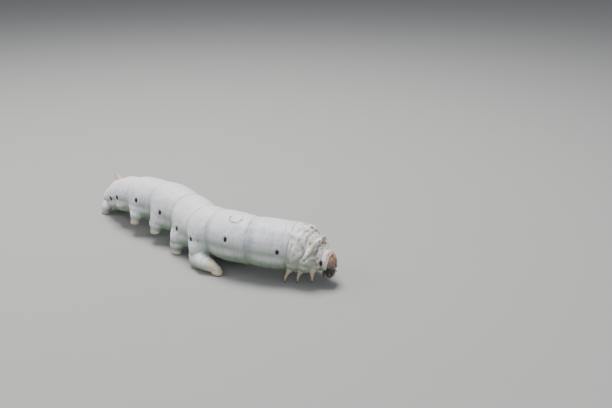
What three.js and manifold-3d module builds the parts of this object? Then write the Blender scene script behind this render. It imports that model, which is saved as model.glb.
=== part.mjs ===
// A life-size silkworm, the full-grown larva of the silk moth, standing on a flat floor.
// Millimetres, +Z up, +X towards the head. The floor is z = 0.
// The body is a chain of thirteen segments on a curved spine: three of the thorax, ten of the abdomen.
// The larva eats with its head down, holds on with its first two pairs of prolegs and its claspers, and
// carries its first legs and the prolegs of its fifth and sixth abdominal segments off the floor.
import * as THREE from "three";
import { mergeVertices } from "three/addons/utils/BufferGeometryUtils.js";
import Module from "manifold-3d";

const wasm = await Module();
wasm.setup();

// Driving dimensions
const GAP = 0.3;
const BODY_SIDES = 28;
const NECK_FOLD = { x: 33.32, y: 1.1, z: 5.5 };
const NECK_RADIUS = 2.05;
const TAIL_RADIUS = 1.5;

// One row for each body segment, from the neck to the tail. length runs along the spine, heading is the
// plan direction towards the head in degrees, tall and wide are the half height and half width at the
// middle, rearZ is the height of the spine at the rear fold and crease the depth of that fold.
const SEGMENTS = [
  { name: "prothorax", length: 1.35, heading: 4, tall: 2.7, wide: 2.4, rearZ: 5.6, crease: 0.1 },
  { name: "mesothorax", length: 2.56, heading: 4, tall: 4.0, wide: 4.4, rearZ: 6.2, crease: 0.3 },
  { name: "metathorax", length: 3.72, heading: 6, tall: 5.15, wide: 5.05, rearZ: 7.0, crease: 0.3 },
  { name: "abdomen_1", length: 8.3, heading: 21, tall: 5.0, wide: 5.1, rearZ: 7.7, crease: 0.35 },
  { name: "abdomen_2", length: 8.9, heading: 2, tall: 5.15, wide: 5.15, rearZ: 7.5, crease: 0.45 },
  { name: "abdomen_3", length: 5.7, heading: -13, tall: 5.2, wide: 5.25, rearZ: 6.8, crease: 0.5 },
  { name: "abdomen_4", length: 7.8, heading: -20, tall: 5.2, wide: 5.25, rearZ: 7.6, crease: 0.5 },
  { name: "abdomen_5", length: 8.7, heading: -8, tall: 5.05, wide: 5.1, rearZ: 8.6, crease: 0.5 },
  { name: "abdomen_6", length: 8.4, heading: -3, tall: 4.6, wide: 4.7, rearZ: 8.2, crease: 0.45 },
  { name: "abdomen_7", length: 5.8, heading: -13, tall: 4.1, wide: 4.25, rearZ: 6.9, crease: 0.4 },
  { name: "abdomen_8", length: 4.0, heading: -14, tall: 3.85, wide: 4.0, rearZ: 5.4, crease: 0.3 },
  { name: "abdomen_9", length: 2.4, heading: -15, tall: 3.3, wide: 3.5, rearZ: 4.45, crease: 0.2 },
  { name: "abdomen_10", length: 3.8, heading: -22, tall: 2.65, wide: 2.95, rearZ: 3.0, crease: 0 },
];

// Where the ridge of the flank lies, in degrees round from the middle of the back, and how much deeper
// the belly of the abdomen is than its back is high.
const RIDGE_ANGLE = 120;
const BELLY_DEPTH = 0.12;

// Haunches: the swellings of the lower flank that carry the prolegs, with the station and the angle of
// their middle and their height. The one of the seventh segment has no proleg.
const HAUNCHES = [
  { name: "abdomen_3", station: 5.52, angle: 132, height: 1.9 },
  { name: "abdomen_4", station: 6.53, angle: 132, height: 2.0 },
  { name: "abdomen_5", station: 7.72, angle: 123, height: 1.8 },
  { name: "abdomen_6", station: 8.66, angle: 122, height: 1.1 },
  { name: "abdomen_7", station: 9.58, angle: 121, height: 0.6 },
];
const HAUNCH = { length: 0.3, breadth: 27 };

const degrees = (a) => (a * Math.PI) / 180;
const mix = (a, b, t) => a + (b - a) * t;
const bell = (x, width) => Math.exp(-((x / width) ** 2));
const smooth = (t) => t * t * (3 - 2 * t);
const ease = (x, low, high) => smooth(THREE.MathUtils.clamp((x - low) / (high - low), 0, 1));

// The spine: its folds follow from the lengths, headings and heights above.
const folds = [new THREE.Vector3(NECK_FOLD.x, NECK_FOLD.y, NECK_FOLD.z)];
for (const segment of SEGMENTS) {
  const front = folds[folds.length - 1];
  const rise = front.z - segment.rearZ;
  const run = Math.sqrt(segment.length ** 2 - rise ** 2);
  const heading = degrees(segment.heading);
  const x = front.x - run * Math.cos(heading);
  const y = front.y - run * Math.sin(heading);
  folds.push(new THREE.Vector3(x, y, segment.rearZ));
}
const spine = new THREE.CatmullRomCurve3(folds, false, "catmullrom", 0.5);

// The frame of the cross-section at a place along the body: station 3.5 is the middle of segment 3.
function sectionAt(station) {
  const t = THREE.MathUtils.clamp(station / SEGMENTS.length, 0, 1);
  const centre = spine.getPoint(t);
  const forward = spine.getTangent(t).negate();
  const side = new THREE.Vector3().crossVectors(forward, new THREE.Vector3(0, 0, 1)).normalize();
  const up = new THREE.Vector3().crossVectors(side, forward).normalize();
  return { centre, forward, side, up };
}

const foldHalf = (fold, key) => {
  if (fold === 0) return NECK_RADIUS;
  if (fold === SEGMENTS.length) return TAIL_RADIUS;
  const smaller = Math.min(SEGMENTS[fold - 1][key], SEGMENTS[fold][key]);
  const larger = Math.max(SEGMENTS[fold - 1][key], SEGMENTS[fold][key]);
  return mix(smaller, larger, 0.35) - SEGMENTS[fold - 1].crease;
};

// The thorax is crumpled: long slanting folds that rise on the flanks, and knobs along the back.
// Each row gives a station, an angle round the body, how far the fold slants, its width and its height.
const THORAX_FOLDS = [
  { station: 0.5, angle: 60, slant: 0.25, width: 0.2, height: 0.2, spread: 55 },
  { station: 0.95, angle: 72, slant: 0.35, width: 0.15, height: -0.24, spread: 50 },
  { station: 1.25, angle: 84, slant: 0.45, width: 0.15, height: 0.3, spread: 42 },
  { station: 1.62, angle: 92, slant: 0.4, width: 0.14, height: -0.24, spread: 40 },
  { station: 1.45, angle: 0, slant: 0, width: 0.18, height: 0.22, spread: 40 },
  { station: 2.3, angle: 100, slant: 0.3, width: 0.18, height: 0.2, spread: 36 },
  { station: 2.35, angle: 0, slant: 0, width: 0.2, height: 0.3, spread: 50 },
];

function thoraxFold(station, turn) {
  let height = 0;
  for (const fold of THORAX_FOLDS) {
    const away = (Math.abs(turn) - fold.angle) / fold.spread;
    height += fold.height * bell(station - fold.station + fold.slant * away, fold.width) * bell(away, 1);
  }
  return height;
}

// Height of the haunches over the plain flank.
function haunch(station, turn) {
  let height = 0;
  for (const swelling of HAUNCHES) {
    const along = bell(station - swelling.station, HAUNCH.length);
    height += swelling.height * along * bell(Math.abs(turn) - swelling.angle, HAUNCH.breadth);
  }
  return height;
}

// A point of the skin. turn is in degrees from the middle of the back, positive on the larva's right.
function skinPoint(station, turn, extra = 0, section = sectionAt(station)) {
  const index = Math.min(Math.floor(station), SEGMENTS.length - 1);
  const segment = SEGMENTS[index];
  const share = station - index;
  const nearer = share < 0.5 ? index : index + 1;
  const plump = Math.sin(Math.PI * share) ** 0.55;
  const isEnd = nearer === SEGMENTS.length;
  const fullness = isEnd ? Math.sqrt(Math.max(0, 1 - ((share - 0.5) * 2) ** 2.4)) : plump;
  const tall = mix(foldHalf(nearer, "tall"), segment.tall, fullness);
  const wide = mix(foldHalf(nearer, "wide"), segment.wide, fullness);
  const a = degrees(turn);
  const round = Math.abs(turn);
  const belly = 1 + BELLY_DEPTH * ease(round, 95, 150) * ease(station, 2.6, 3.5);
  const ridge = 0.28 * bell(round - RIDGE_ANGLE, 13) * plump;
  const hollow = 0.12 * bell(round - 104, 9) * plump;
  const lift = ridge - hollow + thoraxFold(station, turn) + haunch(station, turn) * plump + extra;
  const out = new THREE.Vector3()
    .addScaledVector(section.side, wide * Math.sin(a) * belly)
    .addScaledVector(section.up, tall * Math.cos(a) * belly);
  return section.centre.clone().add(out).addScaledVector(out.clone().normalize(), lift);
}

// The outward direction of the skin at a place.
function skinNormal(station, turn) {
  const along = skinPoint(station - 0.03, turn).sub(skinPoint(station + 0.03, turn));
  const around = skinPoint(station, turn + 3).sub(skinPoint(station, turn - 3));
  return new THREE.Vector3().crossVectors(around, along).normalize();
}

// A closed geometry through a row of rings with the same count of points, with a flat cap at each end.
function loft(rings) {
  const sides = rings[0].length;
  const positions = rings.flat().flatMap((p) => [p.x, p.y, p.z]);
  const faces = [];
  for (let r = 0; r + 1 < rings.length; r++)
    for (let s = 0; s < sides; s++) {
      const a = r * sides + s;
      const b = r * sides + ((s + 1) % sides);
      faces.push(a, b, a + sides, b, b + sides, a + sides);
    }
  for (const [ring, flip] of [[0, true], [rings.length - 1, false]]) {
    const middle = rings[ring].reduce((sum, p) => sum.add(p), new THREE.Vector3()).divideScalar(sides);
    const hub = positions.length / 3;
    positions.push(middle.x, middle.y, middle.z);
    for (let s = 0; s < sides; s++) {
      const a = ring * sides + s;
      const b = ring * sides + ((s + 1) % sides);
      faces.push(hub, flip ? b : a, flip ? a : b);
    }
  }
  const geometry = new THREE.BufferGeometry();
  geometry.setAttribute("position", new THREE.Float32BufferAttribute(positions, 3));
  geometry.setIndex(faces);
  return geometry;
}

// A geometry as a solid, turned the right way out.
function solid(geometry) {
  const plain = geometry.clone();
  plain.deleteAttribute("normal");
  plain.deleteAttribute("uv");
  const merged = mergeVertices(plain, 1e-4);
  const vertProperties = new Float32Array(merged.attributes.position.array);
  const triVerts = new Uint32Array(merged.index.array);
  const made = new wasm.Manifold(new wasm.Mesh({ numProp: 3, vertProperties, triVerts }));
  if (made.volume() > 0) return made;
  for (let i = 0; i < triVerts.length; i += 3)
    [triVerts[i + 1], triVerts[i + 2]] = [triVerts[i + 2], triVerts[i + 1]];
  return new wasm.Manifold(new wasm.Mesh({ numProp: 3, vertProperties, triVerts }));
}

// The largest closed body of a solid, as a geometry.
function geometryOf(made) {
  const largest = made.decompose().sort((a, b) => b.volume() - a.volume())[0];
  const mesh = largest.getMesh();
  const geometry = new THREE.BufferGeometry();
  geometry.setAttribute("position", new THREE.Float32BufferAttribute(mesh.vertProperties, 3));
  geometry.setIndex(Array.from(mesh.triVerts));
  return geometry;
}

// The rings of one segment. Its first and last ring lie in the plane of the fold, inset from it, and no
// ring crosses these planes where the body bends.
function segmentRings(index, extra, inset, steps, sides) {
  const front = sectionAt(index);
  const rear = sectionAt(index + 1);
  const rings = [];
  for (let step = 0; step <= steps; step++) {
    const share = (1 - Math.cos((Math.PI * step) / steps)) / 2;
    const station = index + THREE.MathUtils.clamp(share, 0.001, 0.999);
    const section = sectionAt(station);
    if (step === 0) section.centre = front.centre.clone();
    if (step === steps) section.centre = rear.centre.clone();
    const ring = [];
    for (let s = 0; s < sides; s++) {
      const point = skinPoint(station, (360 * s) / sides - 180, extra, section);
      const ahead = point.clone().sub(front.centre).dot(front.forward) + inset + 0.04 * step;
      const behind = rear.centre.clone().sub(point).dot(rear.forward) + inset + 0.04 * (steps - step);
      if (step === 0 || (step < steps && ahead > 0)) point.addScaledVector(front.forward, -ahead);
      if (step === steps || (step > 0 && behind > 0)) point.addScaledVector(rear.forward, behind);
      ring.push(point);
    }
    rings.push(ring);
  }
  return rings;
}

const SEGMENT_STEPS = [7, 8, 7, 7, 7, 6, 6, 6, 6, 6, 6, 4, 7];
const segmentSolid = (index) =>
  solid(loft(segmentRings(index, 0, GAP / 2, SEGMENT_STEPS[index], BODY_SIDES)));

// The body swollen by the gap, to trim a limb where it meets the skin.
const swollen = SEGMENTS.map((_, index) => solid(loft(segmentRings(index, GAP, -GAP, 8, BODY_SIDES))));
const trimmed = (limb, first, last) =>
  swollen.slice(Math.max(0, first), last + 1).reduce((rest, segment) => rest.subtract(segment), limb);

// A ring of points round a centre, in the plane that faces along a direction.
function ringAt(centre, direction, forward, halfLength, halfWidth, sides) {
  const across = new THREE.Vector3().crossVectors(direction, forward).normalize();
  const along = new THREE.Vector3().crossVectors(across, direction).normalize();
  const ring = [];
  for (let s = 0; s < sides; s++) {
    const a = (2 * Math.PI * s) / sides;
    const point = centre.clone().addScaledVector(along, Math.cos(a) * halfLength);
    ring.push(point.addScaledVector(across, Math.sin(a) * halfWidth));
  }
  return ring;
}

// A limb lofted along a bent line from its root in the body to its foot. profile gives, for each share
// of the way, the half length along the body and the half width across it.
function limb(root, out, foot, footDirection, forward, profile, sides) {
  const reach = root.distanceTo(foot);
  const line = new THREE.CubicBezierCurve3(
    root,
    root.clone().addScaledVector(out, reach * 0.4),
    foot.clone().addScaledVector(footDirection, -reach * 0.4),
    foot,
  );
  const rings = profile.map(([share, halfLength, halfWidth]) => {
    const direction = share >= 1 ? footDirection : line.getTangent(share);
    return ringAt(line.getPoint(share), direction, forward, halfLength, halfWidth, sides);
  });
  return solid(loft(rings));
}

// All the room below a level, to cut off what would sink into the floor.
const groundUpTo = (level) => solid(new THREE.BoxGeometry(120, 80, 6).translate(0, 0, level - 3));

const group = new THREE.Group();
group.name = "silkworm";
const DOWN = new THREE.Vector3(0, 0, -1);

const finish = (color, roughness) => new THREE.MeshStandardMaterial({ color, roughness, metalness: 0 });
const MATERIALS = {
  skin: finish(0xe6e7ea, 0.6),
  belly: finish(0xcfd6c4, 0.55),
  leg: finish(0xcdb99a, 0.45),
  capsule: finish(0x9a6f58, 0.35),
  jaw: finish(0x2c1c17, 0.3),
  eye: finish(0x120d0b, 0.15),
  horn: finish(0xe0b9a0, 0.5),
};

function place(name, made, material) {
  const mesh = new THREE.Mesh(geometryOf(made), MATERIALS[material].clone());
  mesh.name = name;
  group.add(mesh);
}

// A breathing pore: a low oval rim with a slit, raised on the flank. It stands taller than it is long.
const SPIRACLE = { tall: 0.55, long: 0.36, rim: 0.14, sunk: 0.5 };
// Each pair has a station and an angle, because the row of pores rises and falls along a bent body.
const SPIRACLES = [
  [0.45, 92],
  [3.34, 88],
  [4.41, 78],
  [5.54, 97],
  [6.4, 94],
  [7.45, 89],
  [8.49, 84],
  [9.49, 90],
  [10.45, 94],
];
function spiracle(station, turn) {
  const at = skinPoint(station, turn);
  const out = skinNormal(station, turn);
  const { forward } = sectionAt(station);
  const { tall, long, rim, sunk } = SPIRACLE;
  const level = (depth, share) =>
    ringAt(at.clone().addScaledVector(out, depth), out, forward, long * share, tall * share, 10);
  return solid(loft([level(-sunk, 1.1), level(rim, 1), level(rim, 0.6), level(0.02, 0.45)]));
}

// Body segments with their breathing pores
SEGMENTS.forEach((segment, index) => {
  let made = segmentSolid(index);
  for (const [station, turn] of SPIRACLES.filter((pair) => Math.floor(pair[0]) === index))
    for (const side of [1, -1]) made = made.add(spiracle(station, turn * side));
  place(segment.name, made, "skin");
});

// Prolegs: stout, soft and waisted, with a flat sole. reach is how far the foot is set forward of its
// root, out how far it stands to the side, and lift the height of its sole over the floor.
const PROLEGS = [
  { number: 3, station: 5.5, angle: 138, reach: 5.9, out: -1.2, lift: 0, length: 1 },
  { number: 4, station: 6.53, angle: 138, reach: 0.3, out: 0.0, lift: 0, length: 0.94 },
  { number: 5, station: 7.62, angle: 132, reach: -0.1, out: 0.2, lift: 2.6, length: 0.9 },
  { number: 6, station: 8.6, angle: 130, reach: -0.2, out: 0.3, lift: 3, length: 0.85 },
];
const PROLEG = { rootLength: 2.2, rootWidth: 1.75, footLength: 1.3, footWidth: 1, sunk: 1.8, sides: 14 };
for (const proleg of PROLEGS) {
  const { forward, side: rightward } = sectionAt(proleg.station);
  const ahead = new THREE.Vector3(forward.x, forward.y, 0).normalize();
  const { rootLength, rootWidth, footLength, footWidth } = PROLEG;
  const profile = [
    [0, rootLength, rootWidth],
    [0.3, rootLength, rootWidth],
    [0.5, rootLength * 0.9, rootWidth * 0.95],
    [0.68, footLength * 1.12, footWidth * 1.2],
    [0.8, footLength * 0.92, footWidth * 0.98],
    [0.9, footLength * 1.06, footWidth * 1.1],
    [1, footLength, footWidth],
  ].map(([share, long, wide]) => [share, long * proleg.length, wide * proleg.length]);
  for (const [label, side] of [["right", 1], ["left", -1]]) {
    const skin = skinPoint(proleg.station, proleg.angle * side);
    const out = skinNormal(proleg.station, proleg.angle * side);
    const root = skin.clone().addScaledVector(out, -PROLEG.sunk);
    const foot = skin.clone().addScaledVector(ahead, proleg.reach);
    foot.addScaledVector(rightward, proleg.out * side).setZ(proleg.lift);
    const made = limb(root, out, foot, DOWN, ahead, profile, PROLEG.sides).subtract(groundUpTo(0));
    const index = Math.floor(proleg.station);
    place(`proleg_${proleg.number}_${label}`, trimmed(made, index - 1, index + 1), "belly");
  }
}

// Claspers, the prolegs of the last segment, which stand on the floor and grip.
const CLASPER = { station: 12.42, angle: 128, back: 0.6, out: 0.35, sunk: 0.9, sides: 12 };
for (const [label, side] of [["right", 1], ["left", -1]]) {
  const { forward, side: rightward } = sectionAt(CLASPER.station);
  const ahead = new THREE.Vector3(forward.x, forward.y, 0).normalize();
  const skin = skinPoint(CLASPER.station, CLASPER.angle * side);
  const out = skinNormal(CLASPER.station, CLASPER.angle * side);
  const root = skin.clone().addScaledVector(out, -CLASPER.sunk);
  const foot = skin.clone().addScaledVector(ahead, -CLASPER.back);
  foot.addScaledVector(rightward, CLASPER.out * side).setZ(0);
  const profile = [
    [0, 1.7, 1.1],
    [0.35, 1.75, 1.25],
    [0.6, 1.55, 1.15],
    [0.8, 1.3, 0.95],
    [0.92, 1.35, 1.0],
    [1, 1.15, 0.85],
  ];
  const made = limb(root, out, foot, DOWN, ahead, profile, CLASPER.sides);
  place(`clasper_${label}`, trimmed(made, 10, 12), "belly");
}

// Walking legs of the thorax: a broad hip, two tapering joints and a small claw on a flat tip. A hip and
// a foot are given by how far each lies behind the neck fold, beside the spine and over the floor. The
// first pair is held up a little.
const LEGS = [
  { name: "leg_1", station: 0.7, hip: [1.6, 2.3, 3.9], foot: [1.4, 2.9, 1.1] },
  { name: "leg_2", station: 1.6, hip: [4.1, 2.4, 3.8], foot: [4.8, 3.1, 0] },
  { name: "leg_3", station: 2.5, hip: [6.4, 2.7, 3.6], foot: [7.0, 4.2, 0] },
];
const LEG = { hip: 1.02, tip: 0.3, sides: 10 };
for (const leg of LEGS) {
  const { centre, forward, side: rightward } = sectionAt(leg.station);
  const ahead = new THREE.Vector3(forward.x, forward.y, 0).normalize();
  const profile = [
    [0, LEG.hip, LEG.hip],
    [0.3, LEG.hip, LEG.hip],
    [0.42, LEG.hip * 0.78, LEG.hip * 0.78],
    [0.47, LEG.hip * 0.6, LEG.hip * 0.6],
    [0.56, LEG.hip * 0.62, LEG.hip * 0.62],
    [0.68, LEG.hip * 0.45, LEG.hip * 0.45],
    [0.76, LEG.hip * 0.46, LEG.hip * 0.46],
    [0.9, LEG.hip * 0.3, LEG.hip * 0.3],
    [1, LEG.tip, LEG.tip],
  ];
  for (const [label, side] of [["right", 1], ["left", -1]]) {
    const beside = ([behind, apart, z]) =>
      new THREE.Vector3(NECK_FOLD.x - behind, centre.y, z).addScaledVector(rightward, apart * side);
    const out = rightward.clone().multiplyScalar(0.25 * side).add(DOWN).normalize();
    const made = limb(beside(leg.hip), out, beside(leg.foot), DOWN, ahead, profile, LEG.sides);
    const index = Math.floor(leg.station);
    place(`${leg.name}_${label}`, trimmed(made, index - 1, index + 1), "leg");
  }
}

// The horn on the back of the eighth segment, leaning towards the tail.
const HORN = { station: 10.5, height: 1.7, lean: 1.3, base: 0.75, tip: 0.16, sunk: 0.8, sides: 12 };
{
  const { forward } = sectionAt(HORN.station);
  const skin = skinPoint(HORN.station, 0);
  const out = skinNormal(HORN.station, 0);
  const root = skin.clone().addScaledVector(out, -HORN.sunk);
  const tip = skin.clone().addScaledVector(out, HORN.height).addScaledVector(forward, -HORN.lean);
  const end = tip.clone().sub(skin).normalize();
  const profile = [
    [0, HORN.base * 1.15, HORN.base * 1.1],
    [0.3, HORN.base, HORN.base * 0.95],
    [0.5, HORN.base * 0.68, HORN.base * 0.66],
    [0.75, HORN.base * 0.46, HORN.base * 0.46],
    [0.92, HORN.base * 0.34, HORN.base * 0.34],
    [1, HORN.tip, HORN.tip],
  ];
  place("horn", trimmed(limb(root, out, tip, end, forward, profile, HORN.sides), 9, 11), "horn");
}

// The head: a hard capsule of two round lobes that hangs from the neck with the mouth down.
const HEAD = { heading: 4, pitch: 14, ahead: 0.88, z: 4.75, wide: 2.0, tall: 2.35, deep: 1.65 };
const headTurn = degrees(HEAD.heading);
const headFront = new THREE.Vector3(Math.cos(headTurn), Math.sin(headTurn), 0);
const headSide = new THREE.Vector3(Math.sin(headTurn), -Math.cos(headTurn), 0);
const face = headFront.clone().multiplyScalar(Math.cos(degrees(HEAD.pitch)))
  .addScaledVector(DOWN, Math.sin(degrees(HEAD.pitch)));
const crown = new THREE.Vector3().crossVectors(headSide, face).normalize();
const headCentre = folds[0].clone().addScaledVector(headFront, HEAD.ahead).setZ(HEAD.z);

// A point in the head's own directions: side to the larva's right, then face, then crown.
const headPoint = (side, front, up) =>
  headCentre.clone().addScaledVector(headSide, side).addScaledVector(face, front).addScaledVector(crown, up);

// The capsule narrows to the mouth and is parted by a groove down the middle of the crown.
function capsulePoint(latitude, longitude, extra = 0) {
  const up = Math.sin(latitude);
  const level = Math.cos(latitude);
  const narrow = 1 - 0.3 * ease(-up, 0.1, 1);
  const side = level * Math.sin(longitude);
  const front = level * Math.cos(longitude);
  const groove = 0.16 * bell(side * HEAD.wide, 0.32) * ease(up, -0.35, 0.45);
  const lobes = 1 + 0.05 * bell(Math.abs(side) - 0.5, 0.3) - groove * (front > -0.3 ? 1 : 0.2);
  return headPoint(
    side * (HEAD.wide * lobes * narrow + extra),
    front * (HEAD.deep * lobes * mix(1, 0.86, ease(-up, 0, 1)) + extra),
    up * (HEAD.tall * lobes + extra),
  );
}
function capsule(extra, rings, sides) {
  const rows = [];
  for (let r = 1; r < rings; r++) {
    const latitude = Math.PI / 2 - (Math.PI * r) / rings;
    const row = [];
    for (let s = 0; s < sides; s++) row.push(capsulePoint(latitude, (2 * Math.PI * s) / sides, extra));
    rows.push(row);
  }
  return solid(loft(rows));
}
const swollenHead = capsule(GAP, 12, 24);

// An egg-shaped piece set on the head, from its centre, the direction it points and its half sizes.
function bud(centre, direction, halfLength, halfWidth, halfDepth, sides, rows = 6) {
  const reference = Math.abs(direction.dot(crown)) > 0.8 ? face : crown;
  const across = new THREE.Vector3().crossVectors(direction, reference).normalize();
  const deep = new THREE.Vector3().crossVectors(across, direction).normalize();
  const rings = [];
  for (let r = 1; r < rows; r++) {
    const a = Math.PI * (r / rows);
    const ring = [];
    for (let s = 0; s < sides; s++) {
      const b = (2 * Math.PI * s) / sides;
      ring.push(
        centre.clone()
          .addScaledVector(direction, -Math.cos(a) * halfLength)
          .addScaledVector(across, Math.sin(a) * Math.cos(b) * halfWidth)
          .addScaledVector(deep, Math.sin(a) * Math.sin(b) * halfDepth),
      );
    }
    rings.push(ring);
  }
  return solid(loft(rings));
}

// Eyes: a dark patch low on each cheek that bears six round eyelets in an open ring.
const EYE = { side: 1.5, front: 0.82, up: -0.95, long: 0.7, wide: 0.55, eyelet: 0.2, ring: 0.4 };
function eyePatch(side, extra) {
  const out = headSide.clone().multiplyScalar(side * 0.8).addScaledVector(face, 0.6).normalize();
  const centre = headPoint(EYE.side * side, EYE.front, EYE.up);
  let made = bud(centre, out, 0.42 + extra, EYE.wide + extra, EYE.long + extra, 10);
  if (extra > 0) return made;
  const across = new THREE.Vector3().crossVectors(out, crown).normalize();
  const rise = new THREE.Vector3().crossVectors(across, out).normalize();
  for (let eyelet = 0; eyelet < 6; eyelet++) {
    const a = degrees(-60 + 52 * eyelet);
    const at = centre.clone().addScaledVector(out, 0.26)
      .addScaledVector(across, Math.cos(a) * EYE.ring * 0.85).addScaledVector(rise, Math.sin(a) * EYE.ring);
    made = made.add(bud(at, out, EYE.eyelet, EYE.eyelet, EYE.eyelet, 6, 5));
  }
  return made;
}

// Mouth parts: the upper lip over two jaws, with the lower lip and its spinneret behind them.
const jaw = (side) => bud(headPoint(0.62 * side, 0.85, -2.1), crown.clone().negate(), 0.75, 0.5, 0.5, 10);
const upperLip = bud(headPoint(0, 1.42, -1.72), crown.clone().negate(), 0.7, 0.75, 0.32, 12);
const lowerLip = bud(headPoint(0, -0.35, -2.3), crown.clone().negate(), 0.55, 0.75, 0.42, 12);
const spinneret = bud(headPoint(0, 0.0, -2.72), crown.clone().negate(), 0.42, 0.26, 0.26, 8);
const palp = (side) => bud(headPoint(1.15 * side, -0.2, -2.2), crown.clone().negate(), 0.62, 0.34, 0.34, 8);
const antenna = (side) => {
  const root = headPoint(1.15 * side, 1.05, -1.6);
  const out = headSide.clone().multiplyScalar(0.5 * side).addScaledVector(face, 0.75);
  out.addScaledVector(crown, -0.5).normalize();
  const tip = root.clone().addScaledVector(out, 1.35);
  const profile = [[0, 0.32, 0.32], [0.5, 0.3, 0.3], [0.6, 0.25, 0.25], [0.85, 0.25, 0.25], [1, 0.16, 0.16]];
  return limb(root, out, tip, out, crown, profile, 8);
};

{
  const neck = swollen[0];
  const skull = [1, -1].reduce((rest, side) => rest.subtract(eyePatch(side, GAP)), capsule(0, 12, 26));
  place("head", skull.subtract(neck), "capsule");
  const settled = (made) => made.subtract(groundUpTo(0.05));
  place("upper_lip", settled(upperLip.subtract(swollenHead)), "jaw");
  for (const [label, side] of [["right", 1], ["left", -1]]) {
    place(`eye_${label}`, eyePatch(side, 0), "eye");
    place(`jaw_${label}`, settled(jaw(side).subtract(swollenHead)), "jaw");
    place(`palp_${label}`, settled(palp(side).subtract(swollenHead)), "leg");
    place(`antenna_${label}`, settled(antenna(side).subtract(swollenHead)), "leg");
  }
  place("lower_lip", settled(lowerLip.add(spinneret).subtract(swollenHead)), "leg");
}

export default group;
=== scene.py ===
"""A life-size silkworm, the full-grown larva of the silk moth, standing on a pale floor."""
import math

import bpy
import numpy as np
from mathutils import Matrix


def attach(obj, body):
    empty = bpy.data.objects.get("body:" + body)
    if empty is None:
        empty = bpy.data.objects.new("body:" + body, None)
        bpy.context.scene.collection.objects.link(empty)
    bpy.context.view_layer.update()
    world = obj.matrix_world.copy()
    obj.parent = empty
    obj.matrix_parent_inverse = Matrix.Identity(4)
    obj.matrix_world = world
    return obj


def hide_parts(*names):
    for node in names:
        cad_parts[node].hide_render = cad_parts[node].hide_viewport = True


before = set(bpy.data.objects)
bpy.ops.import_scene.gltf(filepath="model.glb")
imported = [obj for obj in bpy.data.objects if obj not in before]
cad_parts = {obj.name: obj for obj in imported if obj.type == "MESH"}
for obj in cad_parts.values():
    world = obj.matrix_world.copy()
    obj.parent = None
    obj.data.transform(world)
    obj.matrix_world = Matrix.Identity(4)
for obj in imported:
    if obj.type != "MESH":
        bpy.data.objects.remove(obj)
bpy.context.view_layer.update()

bl_info = {
    "name": "Silkworm",
    "version": (1, 0, 0),
    "blender": (4, 5, 0),
    "location": "3D View > Sidebar > Silkworm",
    "description": "Builds a full-grown silkworm with its skin, head, legs and markings",
    "category": "Add Mesh",
}

# The forms are worked out in millimetres, like the solids, and turned to metres as each mesh is made.
MM = 0.001

# The body, with the same values as the solids have. One row for each segment from the neck to the tail: name,
# length, heading in degrees, half height, half width, height of the rear fold and depth of that fold.
NECK_FOLD = (33.32, 1.1, 5.5)
NECK_RADIUS = 2.05
TAIL_RADIUS = 1.5
SEGMENTS = (
    ("prothorax", 1.35, 4, 2.7, 2.4, 5.6, 0.1),
    ("mesothorax", 2.56, 4, 4.0, 4.4, 6.2, 0.3),
    ("metathorax", 3.72, 6, 5.15, 5.05, 7.0, 0.3),
    ("abdomen_1", 8.3, 21, 5.0, 5.1, 7.7, 0.35),
    ("abdomen_2", 8.9, 2, 5.15, 5.15, 7.5, 0.45),
    ("abdomen_3", 5.7, -13, 5.2, 5.25, 6.8, 0.5),
    ("abdomen_4", 7.8, -20, 5.2, 5.25, 7.6, 0.5),
    ("abdomen_5", 8.7, -8, 5.05, 5.1, 8.6, 0.5),
    ("abdomen_6", 8.4, -3, 4.6, 4.7, 8.2, 0.45),
    ("abdomen_7", 5.8, -13, 4.1, 4.25, 6.9, 0.4),
    ("abdomen_8", 4.0, -14, 3.85, 4.0, 5.4, 0.3),
    ("abdomen_9", 2.4, -15, 3.3, 3.5, 4.45, 0.2),
    ("abdomen_10", 3.8, -22, 2.65, 2.95, 3.0, 0.0),
)
COUNT = len(SEGMENTS)

# The ridge along the lower flank and the furrow over it: angle, half breadth in degrees and height.
FLANK_LINES = ((120, 13, 0.28), (104, 9, -0.12))
BELLY_DEPTH = 0.12
PLUMPNESS = 0.62  # the lower this power, the fuller the segments and the narrower the folds

# The mean radius of the body and of the thorax, for lengths that are measured round them.
GIRTH_RADIUS = 5.1
THORAX_RADIUS = 4.4

# Haunches of the lower flank that carry the prolegs: station, angle and height. All have the same half
# length in stations and half breadth in degrees.
HAUNCH_LENGTH = 0.3
HAUNCH_BREADTH = 27
HAUNCHES = ((5.52, 132, 1.9), (6.53, 132, 2.0), (7.72, 123, 1.8), (8.66, 122, 1.1), (9.58, 121, 0.6))

# Folds of the thorax: station, angle, slant, width, height and spread. Those at angle 0 fill the folds on the
# back, a little more than in the solids. The others are as in the solids.
THORAX_FOLDS = (
    (0.5, 60, 0.25, 0.2, 0.2, 55),
    (0.95, 72, 0.35, 0.15, -0.24, 50),
    (1.25, 84, 0.45, 0.15, 0.3, 42),
    (1.62, 92, 0.4, 0.14, -0.24, 40),
    (1.0, 0, 0, 0.3, 0.32, 62),
    (2.3, 100, 0.3, 0.18, 0.2, 36),
    (2.0, 0, 0, 0.26, 0.55, 66),
)

# Prolegs: station and angle of the root, reach forward, step outward, height of the sole and size.
PROLEGS = (
    (5.5, 138, 5.9, -1.2, 0.0, 1.0),
    (6.53, 138, 0.3, 0.0, 0.0, 0.94),
    (7.62, 132, -0.1, 0.2, 2.6, 0.9),
    (8.6, 130, -0.2, 0.3, 3.0, 0.85),
)
CLASPER = (12.42, 128, -0.6, 0.35, 0.0, 1.0)

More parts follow.
